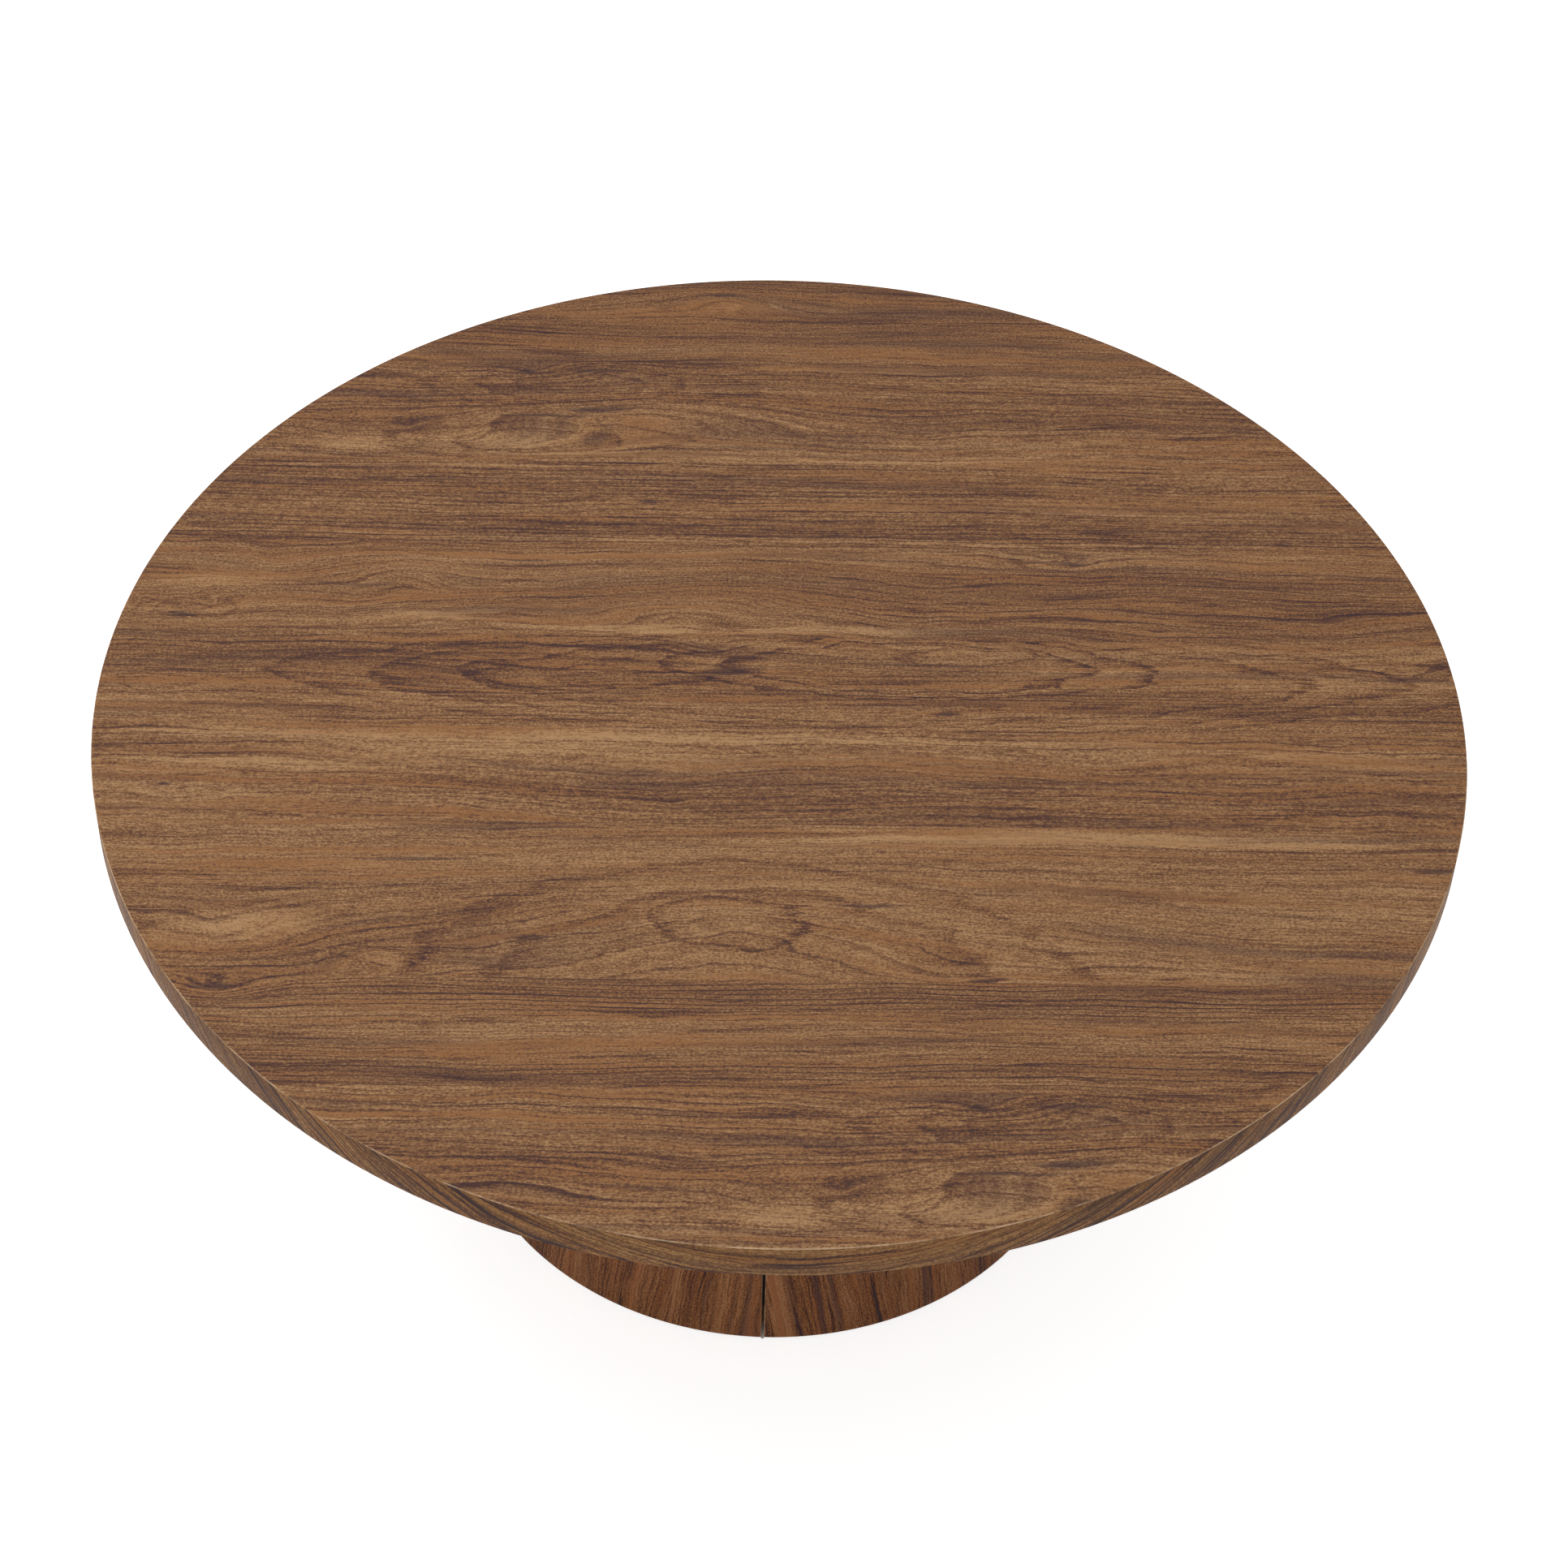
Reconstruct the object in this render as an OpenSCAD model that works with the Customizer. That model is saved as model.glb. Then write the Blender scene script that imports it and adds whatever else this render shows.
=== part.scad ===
// Tilt-top pedestal table: a round board on a tapered drum. The board's two battens turn on
// pivot bolts at the back of the drum, so the front of the board lifts and the board stands
// on edge against the drum's back. A sliding bolt under the front holds it shut.
// Frame: origin on the floor at the drum's axis, +Z up, +Y to the back, where the pivots are.

/* [Table] */
// Height of the upper face above the floor
table_h = 400; // [340:5:520]
// Diameter of the round top
top_d = 900; // [740:10:1100]
// Thickness of the fibreboard inside the foil
board_t = 24; // [18:1:32]
// Thickness of the walnut-print foil on the top and the drum
foil_t = 0.5; // [0.3:0.1:1]
// Radius of the foil's bend round the upper edge
foil_bend_r = 0.8; // [0.5:0.1:1.5]
// Thickness of the plain sheet under the board
backing_t = 0.5; // [0.3:0.1:1]

/* [Drum] */
// Outer radius of the drum at its lower edge
drum_floor_r = 225; // [190:5:280]
// Lean of the drum's wall from upright, in degrees
drum_taper = 5; // [3:0.5:7]
// Thickness of the bent shells
shell_t = 12; // [9:1:16]
// Open joint between the two shells
seam_gap = 2; // [1:0.5:4]
// Thickness of the top plate and the floor plate
plate_t = 18; // [16:1:25]
// Thickness of the glides that the drum stands on
glide_t = 3; // [2:0.5:8]
// Radius of one glide
glide_r = 14; // [10:1:20]
// Distance from the drum's outer edge to a glide's centre
glide_inset = 38; // [30:1:60]
// Width of the cleat behind each joint of the shells
cleat_w = 64; // [50:2:90]
// Thickness of that cleat
cleat_t = 22; // [16:1:30]

/* [Tilt] */
// Height of the battens under the board, twice the pivot's depth below it
batten_h = 38; // [34:1:48]
// Width of one batten
batten_w = 32; // [24:1:40]
// Clear width between the two battens
batten_gap = 144; // [130:2:180]
// Distance from the front of a batten to the rim of the board
batten_margin = 200; // [150:5:240]
// Height of the batten's front end, where its sloped underside meets the end
batten_end_h = 16; // [10:1:24]
// Length of that sloped underside
batten_slope = 60; // [30:5:90]
// Thickness of the pads that the battens rest on
pad_t = 3; // [2:0.5:5]
// Thickness of the buffers that meet the back of the drum
buffer_t = 6; // [4:0.5:8]
// Radius of a buffer
buffer_r = 11; // [8:1:16]
// Radius of the pivot bolts
pivot_r = 4; // [3:0.5:5]
// Thickness of the steel of the pivot brackets
bracket_t = 5; // [3:0.5:6]
// Radius of the bracket's ear round the pivot
ear_r = 14; // [11:1:16]

/* [Catch] */
// Radius of the sliding bolt
rod_r = 5; // [4:0.5:6]
// How far the bolt slides
rod_travel = 14; // [10:1:18]
// Depth of the bolt's axis below the board
rod_drop = 14; // [11:1:16]
// Thickness of the keeper's steel
keeper_t = 4; // [3:0.5:5]

/* [Hidden] */
$fn = 96;
eps = 0.01;
// Clearances: a bolted joint, a shaft that runs, two bodies that meet, a screw in its hole and
// the glue under the drum's foil
fit = 0.2;
run = 0.05;
touch = 0.3;
snug = 0.05;
glue = 0.05;
// How far a cutting shape runs past the faces that it cuts
past = 1;

top_r = top_d / 2;
board_z = table_h - foil_t - board_t;
underside_z = board_z - backing_t;
pivot_z = underside_z - batten_h / 2;
drum_top_z = underside_z - batten_h - touch - pad_t;
function drum_r(z) = drum_floor_r - (z - glide_t) * tan(drum_taper);
function inner_r(z) = drum_r(z) - shell_t;
// At full tilt, 90 degrees less the drum's taper, the board lies along the drum's back with
// the buffers between the two.
pivot_y = drum_r(pivot_z) - (batten_h / 2 - buffer_t - touch) / cos(drum_taper);

batten_x = batten_gap / 2;
batten_front_y = batten_margin - top_r;
batten_screw_n = 4;
batten_screw_front = 12;
batten_screw_back = 45;
batten_screw_sink = 2;
batten_screw_d = 5;
batten_screw_l = 50;
buffer_front = 60;
buffer_margin = 50;
buffer_screw_d = 3;
buffer_screw_l = 14;
// Room round a screw's head where it lies in a recess
recess_rim = 0.8;

// Pivot bush, washer, bolt and nut
bush_wall = 2;
bush_flange_t = 1;
bush_flange_r = 10;
washer_t = 1.6;
washer_r = 9;
bolt_head_h = 5.3;
bolt_head_r = 7.5;
nut_h = 8;
bolt_end = 1;

ear_x = batten_x - bush_flange_t - fit - bracket_t;
bolt_out_x = batten_x + batten_w + touch + washer_t;
bolt_in_x = ear_x - fit - nut_h;
foot_w = 44;
foot_l = 66;
foot_margin = 8;
foot_back_y = sqrt(pow(inner_r(drum_top_z) - foot_margin, 2) - pow(ear_x + bracket_t, 2));
// Screws in a bracket's foot, by their distance from the ear and from the foot's back
foot_screws = [[14, 12], [32, 33], [14, 54]];
plate_screw_d = 4;
plate_screw_l = 18;

// Catch: a plate with two guides under the board, and a keeper on the drum
keeper_air = 2;
keeper_h = underside_z - drum_top_z - keeper_air;
keeper_w = 32;
keeper_foot_l = 32;
keeper_inset = 24;
keeper_screw_x = 9;
keeper_screw_y = 19;
keeper_front_y = -(inner_r(drum_top_z) - keeper_inset);
rod_z = underside_z - rod_drop;
rod_gap = 4;
rod_tip_y = keeper_front_y - rod_gap;
rod_lead = 6;
rod_tail = 10;
rod_bevel = 1.5;
guide_l = 14;
guide_w = 18;
knob_room = 9;
case_t = 2;
case_w = 36;
case_l = 2 * (guide_l + knob_room) + rod_travel;
case_back_y = rod_tip_y - rod_lead;
case_front_y = case_back_y - case_l;
case_screw_d = 3;
case_screw_l = 14;
case_screw_edge = 5;
case_screw_ys = [case_l / 3, case_l * 2 / 3];
rod_l = rod_lead + case_l + rod_tail;
knob_r = 7;
knob_l = 9.5;
knob_gap = 6;
knob_stem_r = 2.5;
knob_neck_r = 4;
knob_bevel = 1.5;
knob_y = case_front_y + guide_l + knob_room;

// Knock-down cam fittings between the plates and the shells
cam_r = 7.5;
cam_h = 12.5;
cam_slot = [8, 1.2, 1.8];
cam_inset = 24;
cam_bolt_r = 3.5;
cam_bolt_rest = 3;
cam_bolt_end = 1;
cam_thread_r = 3;
cam_angles = [-45, 0, 45, 135, 180, 225];

glide_n = 6;
glide_screw_d = 3.5;
glide_screw_l = 14;
glide_bevel = 1;
cleat_screw_d = 4;
cleat_screw_l = 28;
cleat_screw_x = 18;
cleat_screw_shares = [0.15, 0.5, 0.85];

// A screw's head, tip, slot and point as shares of its diameter, the slot's depth as a share of
// the head's, and the room left past its point
screw_head = 0.55;
screw_tip = 1.2;
screw_slot = 0.2;
screw_slot_depth = 0.7;
screw_point = 0.1;
screw_gap = 0.5;

pad_r = 12;
pad_shares = [-0.54, 0.33];

// A side view drawn as (y, z), given a width along X from x0
module from_side(x0, w) {
    translate([x0, 0, 0]) rotate([90, 0, 90]) linear_extrude(w) children();
}

// A cylinder along +X from its centre's place
module along_x(at, r, l) {
    translate(at) rotate([0, 90, 0]) cylinder(r = r, h = l);
}

// Where a line from p touches the circle round c: side is 1 or -1
function touching(p, c, r, side) =
    let (d = p - c, a = atan2(d.y, d.x) + side * acos(r / norm(d)))
    c + r * [cos(a), sin(a)];

// A countersunk wood screw, its head's flat face at the origin and its point along +Z
module screw(d, l) {
    head_h = d * screw_head;
    tip_h = d * screw_tip;
    slot = [d, d * screw_slot, head_h * screw_slot_depth];
    difference() {
        union() {
            cylinder(r1 = d, r2 = d / 2, h = head_h);
            translate([0, 0, head_h - eps]) cylinder(d = d, h = l - head_h - tip_h + eps);
            translate([0, 0, l - tip_h]) cylinder(r1 = d / 2, r2 = d * screw_point, h = tip_h);
        }
        for (turn = [0, 90])
            rotate([0, 0, turn]) translate([-slot.x / 2, -slot.y / 2, -eps]) cube(slot);
    }
}

// The hole that such a screw leaves
module screw_hole(d, l) {
    translate([0, 0, -eps])
        cylinder(r1 = d + snug, r2 = d / 2 + snug, h = d * screw_head + eps);
    cylinder(d = d + 2 * snug, h = l + screw_gap);
}

// ---- Places of the fasteners, shared by each screw and its holes ----

module at_batten_screws(side) {
    first = batten_front_y + batten_slope + batten_screw_front;
    last = pivot_y - batten_screw_back;
    for (i = [0 : batten_screw_n - 1])
        translate([side * (batten_x + batten_w / 2),
                   first + (last - first) * i / (batten_screw_n - 1),
                   underside_z - batten_h + batten_screw_sink])
            children();
}

module at_bracket_screws(side) {
    for (p = foot_screws)
        translate([side * (ear_x - p.x), foot_back_y - p.y, drum_top_z + bracket_t])
            rotate([180, 0, 0]) children();
}

module at_buffers() {
    for (y = [pivot_y + buffer_front, top_r - buffer_margin])
        translate([0, y, underside_z]) children();
}

module at_case_screws() {
    for (side = [-1, 1], y = case_screw_ys)
        translate([side * (case_w / 2 - case_screw_edge), case_back_y - y, underside_z - case_t])
            children();
}

module at_keeper_screws() {
    for (side = [-1, 1])
        translate([side * keeper_screw_x, keeper_front_y + keeper_t + keeper_screw_y,
                   drum_top_z + keeper_t])
            rotate([180, 0, 0]) children();
}

module at_glides() {
    for (i = [0 : glide_n - 1])
        rotate([0, 0, 360 / glide_n * (i + 0.5)])
            translate([drum_floor_r - glide_inset, 0, 0]) children();
}

// Screws that pass through a cleat into the shells on each side of the joint. Their heads lie
// on the cleat's hollow inner face.
module at_cleat_screws(back) {
    low = glide_t + plate_t;
    high = drum_top_z - plate_t;
    for (side = [-1, 1], share = cleat_screw_shares) {
        z = low + (high - low) * share;
        y = sqrt(pow(inner_r(z) - cleat_t, 2) - pow(cleat_screw_x, 2));
        rotate([0, 0, back ? 0 : 180])
            translate([side * cleat_screw_x, y, z]) rotate([-90, 0, 0]) children();
    }
}

// The middle height of a plate that cams hold
function cam_z(upper) = upper ? drum_top_z - plate_t / 2 : glide_t + plate_t / 2;

// ---- Tabletop ----

// One sheet of foil covers the upper face and the edge.
module tabletop_foil() color("#8a6242") {
    foil_h = table_h - underside_z;
    bend = top_r - foil_bend_r;
    translate([0, 0, underside_z]) rotate_extrude() difference() {
        union() {
            square([bend, foil_h]);
            square([top_r, foil_h - foil_bend_r]);
            translate([bend, foil_h - foil_bend_r]) circle(r = foil_bend_r);
        }
        translate([-eps, -eps]) square([top_r - foil_t + eps, foil_h - foil_t + eps]);
    }
}

// The holes that the board's fasteners leave in its sheets
module underside_holes() {
    for (side = [-1, 1]) at_batten_screws(side) screw_hole(batten_screw_d, batten_screw_l);
    at_buffers() translate([0, 0, -buffer_t / 2]) screw_hole(buffer_screw_d, buffer_screw_l);
    at_case_screws() screw_hole(case_screw_d, case_screw_l);
}

module tabletop_board() color("#b08a5e") {
    difference() {
        translate([0, 0, board_z]) cylinder(r = top_r - foil_t, h = board_t);
        underside_holes();
    }
}

module tabletop_backing() color("#3a2c22") {
    difference() {
        translate([0, 0, underside_z]) cylinder(r = top_r - foil_t, h = backing_t);
        underside_holes();
    }
}

module batten(side) color("#b98a5a") {
    x0 = side > 0 ? batten_x : -batten_x - batten_w;
    low = underside_z - batten_h;
    difference() {
        from_side(x0, batten_w) {
            translate([pivot_y, pivot_z]) circle(r = batten_h / 2);
            polygon([[pivot_y, low], [pivot_y, underside_z], [batten_front_y, underside_z],
                     [batten_front_y, underside_z - batten_end_h],
                     [batten_front_y + batten_slope, low]]);
        }
        along_x([x0 - past, pivot_y, pivot_z], pivot_r + run + bush_wall + snug,
                batten_w + 2 * past);
        at_batten_screws(side) {
            screw_hole(batten_screw_d, batten_screw_l);
            translate([0, 0, -batten_screw_sink - past])
                cylinder(r = batten_screw_d + snug, h = batten_screw_sink + past);
        }
    }
}

module batten_left() { batten(-1); }
module batten_right() { batten(1); }

module batten_screws() color("silver") {
    for (side = [-1, 1]) at_batten_screws(side) screw(batten_screw_d, batten_screw_l);
}

// A flanged bush lines each batten's pivot hole, with its flange towards the bracket.
module pivot_bushes() color("#e6e2d6") {
    for (side = [-1, 1]) {
        face = side * batten_x;
        difference() {
            union() {
                along_x([side > 0 ? face : face - batten_w, pivot_y, pivot_z],
                        pivot_r + run + bush_wall, batten_w);
                along_x([side > 0 ? face - bush_flange_t : face, pivot_y, pivot_z],
                        bush_flange_r, bush_flange_t);
            }
            along_x([side * (batten_x + batten_w / 2) - batten_w, pivot_y, pivot_z],
                    pivot_r + run, 2 * batten_w);
        }
    }
}

module stop_buffers() color("#26262a") {
    difference() {
        at_buffers() translate([0, 0, -buffer_t]) cylinder(r = buffer_r, h = buffer_t);
        at_buffers() {
            translate([0, 0, -buffer_t - eps])
                cylinder(r = buffer_screw_d + recess_rim, h = buffer_t / 2 + eps);
            translate([0, 0, -buffer_t / 2]) screw_hole(buffer_screw_d, buffer_screw_l);
        }
    }
}

module buffer_screws() color("silver") {
    at_buffers() translate([0, 0, -buffer_t / 2]) screw(buffer_screw_d, buffer_screw_l);
}

// ---- Catch ----

module catch_case() color("#b08d4a") {
    difference() {
        union() {
            translate([-case_w / 2, case_front_y, underside_z - case_t])
                cube([case_w, case_l, case_t]);
            for (y = [case_front_y, case_back_y - guide_l]) translate([0, y, rod_z]) {
                translate([-guide_w / 2, 0, 0]) cube([guide_w, guide_l, rod_drop - case_t + eps]);
                rotate([-90, 0, 0]) cylinder(d = guide_w, h = guide_l);
            }
        }
        translate([0, case_front_y - past, rod_z]) rotate([-90, 0, 0])
            cylinder(r = rod_r + run, h = case_l + 2 * past);
        at_case_screws() screw_hole(case_screw_d, case_screw_l);
    }
}

module catch_case_screws() color("#c9a85c") {
    at_case_screws() screw(case_screw_d, case_screw_l);
}

// The rod is drawn back at rest, with its tip just in front of the keeper.
module catch_rod() color("#c9a85c") {
    difference() {
        translate([0, rod_tip_y - rod_l, rod_z]) rotate([-90, 0, 0]) {
            cylinder(r = rod_r, h = rod_l - rod_bevel);
            translate([0, 0, rod_l - rod_bevel])
                cylinder(r1 = rod_r, r2 = rod_r - rod_bevel, h = rod_bevel);
        }
        translate([0, knob_y, rod_z - rod_r - past])
            cylinder(r = knob_stem_r + snug, h = rod_r + past);
    }
}

module catch_knob() color("#c9a85c") {
    translate([0, knob_y, rod_z]) mirror([0, 0, 1]) {
        translate([0, 0, fit]) cylinder(r = knob_stem_r, h = rod_r + knob_gap);
        translate([0, 0, rod_r + knob_gap]) rotate_extrude()
            polygon([[0, 0], [knob_neck_r, 0], [knob_r, knob_r - knob_neck_r],
                     [knob_r, knob_l - knob_bevel], [knob_r - knob_bevel, knob_l], [0, knob_l]]);
    }
}

// The keeper stands on the drum's top plate, with a hole that the bolt slides into.
module catch_keeper() color("#b08d4a") {
    difference() {
        union() {
            translate([-keeper_w / 2, keeper_front_y, drum_top_z])
                cube([keeper_w, keeper_t, keeper_h]);
            translate([-keeper_w / 2, keeper_front_y, drum_top_z])
                cube([keeper_w, keeper_t + keeper_foot_l, keeper_t]);
        }
        translate([0, keeper_front_y - past, rod_z]) rotate([-90, 0, 0])
            cylinder(r = rod_r + touch, h = keeper_t + 2 * past);
        at_keeper_screws() screw_hole(plate_screw_d, plate_screw_l);
    }
}

module keeper_screws() color("#c9a85c") {
    at_keeper_screws() screw(plate_screw_d, plate_screw_l);
}

// ---- Drum ----

module drum_cone(inset, low, high) {
    translate([0, 0, low])
        cylinder(r1 = drum_r(low) - inset, r2 = drum_r(high) - inset, h = high - low);
}

// A cam's bolt: its shank in the plate and, a little slimmer, its thread in the shell
module cam_bolt_shape(clear) {
    along_x([-cam_inset + cam_bolt_end, 0, 0], cam_bolt_r + clear, cam_inset - cam_bolt_end);
    along_x([-eps, 0, 0], cam_thread_r + clear, shell_t - cam_bolt_rest);
}

module at_cams(upper, angles) {
    z = cam_z(upper);
    for (a = angles) rotate([0, 0, a]) translate([inner_r(z), 0, z]) children();
}

// Keeps the half of a shape on one side of the joint between the shells
module half(side) {
    big = 3 * drum_floor_r;
    intersection() {
        children();
        translate([side > 0 ? seam_gap / 2 : -seam_gap / 2 - big, -big / 2, 0])
            cube([big, big, table_h]);
    }
}

module drum_foil(side) color("#6f4a30") {
    half(side) difference() {
        drum_cone(0, glide_t, drum_top_z);
        drum_cone(foil_t, glide_t - past, drum_top_z + past);
    }
}

module drum_foil_left() { drum_foil(-1); }
module drum_foil_right() { drum_foil(1); }

module drum_shell(side) color("#d9c7a4") {
    angles = [for (a = cam_angles) if (side * cos(a) > 0) a];
    difference() {
        half(side) difference() {
            drum_cone(foil_t + glue, glide_t, drum_top_z);
            drum_cone(shell_t, glide_t - past, drum_top_z + past);
        }
        for (upper = [false, true]) at_cams(upper, angles) cam_bolt_shape(snug);
        for (back = [false, true]) at_cleat_screws(back) screw_hole(cleat_screw_d, cleat_screw_l);
    }
}

module drum_shell_left() { drum_shell(-1); }
module drum_shell_right() { drum_shell(1); }

module seam_cleat(back) color("#3f3026") {
    low = glide_t + plate_t + fit;
    high = drum_top_z - plate_t - fit;
    turn = back ? 0 : 180;
    difference() {
        intersection() {
            drum_cone(shell_t + fit, low, high);
            rotate([0, 0, turn]) translate([-cleat_w / 2, 0, low])
                cube([cleat_w, drum_floor_r, high - low]);
        }
        drum_cone(shell_t + cleat_t, low - past, high + past);
        at_cleat_screws(back) screw_hole(cleat_screw_d, cleat_screw_l);
    }
}

module seam_cleat_front() { seam_cleat(false); }
module seam_cleat_back() { seam_cleat(true); }

module cleat_screws() color("silver") {
    for (back = [false, true]) at_cleat_screws(back) screw(cleat_screw_d, cleat_screw_l);
}

// Cam nuts sit in the face that can be reached: the upper face of the top plate and the
// underside of the floor plate.
module cam_nut_place(upper) {
    z = cam_z(upper);
    face = upper ? drum_top_z : glide_t;
    for (a = cam_angles) rotate([0, 0, a])
        translate([inner_r(z) - cam_inset, 0, face]) mirror([0, 0, upper ? 1 : 0]) children();
}

module plate(upper) {
    low = upper ? drum_top_z - plate_t : glide_t;
    difference() {
        drum_cone(shell_t + fit, low, low + plate_t);
        at_cams(upper, cam_angles) cam_bolt_shape(snug);
        cam_nut_place(upper) translate([0, 0, -eps]) cylinder(r = cam_r + snug, h = cam_h + snug);
    }
}

module drum_top_plate() color("#c8a878") {
    difference() {
        plate(true);
        for (side = [-1, 1]) at_bracket_screws(side) screw_hole(plate_screw_d, plate_screw_l);
        at_keeper_screws() screw_hole(plate_screw_d, plate_screw_l);
    }
}

module drum_floor_plate() color("#c8a878") {
    difference() {
        plate(false);
        at_glides() translate([0, 0, glide_t / 2]) screw_hole(glide_screw_d, glide_screw_l);
    }
}

module cam_nuts(upper) color("#a9adb2") {
    cam_nut_place(upper) difference() {
        cylinder(r = cam_r, h = cam_h);
        along_x([-eps, 0, plate_t / 2], cam_bolt_r + snug, cam_r + past);
        for (turn = [45, 135]) rotate([0, 0, turn])
            translate([-cam_slot.x / 2, -cam_slot.y / 2, -eps]) cube(cam_slot);
    }
}

module cam_nuts_upper() { cam_nuts(true); }
module cam_nuts_lower() { cam_nuts(false); }

module cam_bolts(upper) color("#a9adb2") {
    at_cams(upper, cam_angles) cam_bolt_shape(0);
}

module cam_bolts_upper() { cam_bolts(true); }
module cam_bolts_lower() { cam_bolts(false); }

module foot_glides() color("#2d2a28") {
    difference() {
        at_glides() {
            translate([0, 0, glide_t / 3]) cylinder(r = glide_r, h = glide_t * 2 / 3);
            cylinder(r1 = glide_r - glide_bevel, r2 = glide_r, h = glide_t / 3);
        }
        at_glides() {
            translate([0, 0, -eps])
                cylinder(r = glide_screw_d + recess_rim, h = glide_t / 2 + eps);
            translate([0, 0, glide_t / 2]) screw_hole(glide_screw_d, glide_screw_l);
        }
    }
}

module glide_screws() color("silver") {
    at_glides() translate([0, 0, glide_t / 2]) screw(glide_screw_d, glide_screw_l);
}

// ---- Pivots ----

module pivot_bracket(side) color("#2b2b2e") {
    centre = [pivot_y, pivot_z];
    front = foot_back_y - foot_l;
    low = touching([foot_back_y, drum_top_z], centre, ear_r, 1);
    high = touching([front, drum_top_z + bracket_t], centre, ear_r, -1);
    x0 = side > 0 ? ear_x : -ear_x - bracket_t;
    difference() {
        union() {
            from_side(x0, bracket_t) {
                translate(centre) circle(r = ear_r);
                polygon([[front, drum_top_z], [foot_back_y, drum_top_z], low, centre, high,
                         [front, drum_top_z + bracket_t]]);
            }
            translate([side > 0 ? ear_x + bracket_t - foot_w : -ear_x - bracket_t,
                       front, drum_top_z])
                cube([foot_w, foot_l, bracket_t]);
        }
        along_x([x0 - past, pivot_y, pivot_z], pivot_r + snug, bracket_t + 2 * past);
        at_bracket_screws(side) screw_hole(plate_screw_d, plate_screw_l);
    }
}

module pivot_bracket_left() { pivot_bracket(-1); }
module pivot_bracket_right() { pivot_bracket(1); }

module bracket_screws() color("silver") {
    for (side = [-1, 1]) at_bracket_screws(side) screw(plate_screw_d, plate_screw_l);
}

// Each bolt enters from outside its batten and is locked to the bracket by its nut.
module at_pivots() {
    for (side = [-1, 1]) mirror([side > 0 ? 0 : 1, 0, 0])
        translate([0, pivot_y, pivot_z]) children();
}

module pivot_bolts() color("#a9adb2") {
    at_pivots() {
        along_x([bolt_in_x - bolt_end, 0, 0], pivot_r, bolt_out_x - bolt_in_x + bolt_end + eps);
        translate([bolt_out_x, 0, 0]) rotate([0, 90, 0])
            cylinder(r = bolt_head_r, h = bolt_head_h, $fn = 6);
    }
}

module pivot_washers() color("silver") {
    at_pivots() difference() {
        along_x([batten_x + batten_w + touch, 0, 0], washer_r, washer_t);
        along_x([batten_x + batten_w, 0, 0], pivot_r + snug, touch + washer_t + past);
    }
}

module pivot_nuts() color("#a9adb2") {
    at_pivots() difference() {
        translate([bolt_in_x, 0, 0]) rotate([0, 90, 0])
            cylinder(r = bolt_head_r, h = nut_h, $fn = 6);
        along_x([bolt_in_x - past, 0, 0], pivot_r + snug, nut_h + 2 * past);
    }
}

module rest_pads() color("#26262a") {
    for (side = [-1, 1], share = pad_shares)
        translate([side * (batten_x + batten_w / 2), inner_r(drum_top_z) * share, drum_top_z])
            cylinder(r = pad_r, h = pad_t);
}

tabletop_foil();
tabletop_board();
tabletop_backing();
batten_left();
batten_right();
batten_screws();
pivot_bushes();
stop_buffers();
buffer_screws();
catch_case();
catch_case_screws();
catch_rod();
catch_knob();
drum_foil_left();
drum_foil_right();
drum_shell_left();
drum_shell_right();
seam_cleat_front();
seam_cleat_back();
cleat_screws();
drum_top_plate();
drum_floor_plate();
cam_nuts_upper();
cam_bolts_upper();
cam_nuts_lower();
cam_bolts_lower();
pivot_bracket_left();
pivot_bracket_right();
bracket_screws();
pivot_bolts();
pivot_washers();
pivot_nuts();
rest_pads();
catch_keeper();
keeper_screws();
foot_glides();
glide_screws();
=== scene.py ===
"""Looks for a round tilt-top pedestal table: finishes, skins, stage and camera."""
from collections import namedtuple
from math import cos, pi, radians, sin, tan

import bmesh
import bpy
from mathutils import Euler, Matrix, Vector


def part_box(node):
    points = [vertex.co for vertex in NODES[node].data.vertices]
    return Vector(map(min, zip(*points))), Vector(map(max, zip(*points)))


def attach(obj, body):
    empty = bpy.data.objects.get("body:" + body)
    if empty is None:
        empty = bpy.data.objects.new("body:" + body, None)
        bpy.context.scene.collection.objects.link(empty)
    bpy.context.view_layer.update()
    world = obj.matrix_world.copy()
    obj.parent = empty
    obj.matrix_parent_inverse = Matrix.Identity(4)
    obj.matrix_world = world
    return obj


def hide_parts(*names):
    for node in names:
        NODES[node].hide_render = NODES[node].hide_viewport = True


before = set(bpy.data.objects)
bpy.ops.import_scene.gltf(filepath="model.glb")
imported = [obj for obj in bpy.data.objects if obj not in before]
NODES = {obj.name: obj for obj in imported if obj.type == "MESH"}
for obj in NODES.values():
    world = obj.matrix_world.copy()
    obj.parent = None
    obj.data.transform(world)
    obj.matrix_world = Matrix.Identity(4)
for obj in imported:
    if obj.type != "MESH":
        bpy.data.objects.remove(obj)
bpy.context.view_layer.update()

bl_info = {
    "name": "Tilt-top table looks",
    "version": (1, 0, 0),
    "blender": (4, 5, 0),
    "location": "3D View > Sidebar > Table",
    "description": "Dresses a walnut-grain tilt-top pedestal table and sets its studio",
    "category": "Object",
}

FOIL_LOW, FOIL_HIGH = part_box("tabletop_foil")
BOARD_LOW, BOARD_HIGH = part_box("tabletop_board")
DRUM_LOW, DRUM_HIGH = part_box("drum_foil_right")

TOP_RADIUS = FOIL_HIGH[0]
TOP_HEIGHT = FOIL_HIGH[2]
UNDERSIDE = FOIL_LOW[2]
FOIL_THICKNESS = TOP_HEIGHT - BOARD_HIGH[2]
DRUM_FOOT_RADIUS = DRUM_HIGH[0]
DRUM_FOOT = DRUM_LOW[2]
DRUM_HEAD = DRUM_HIGH[2]
SEAM_HALF_GAP = DRUM_LOW[0]

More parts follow.
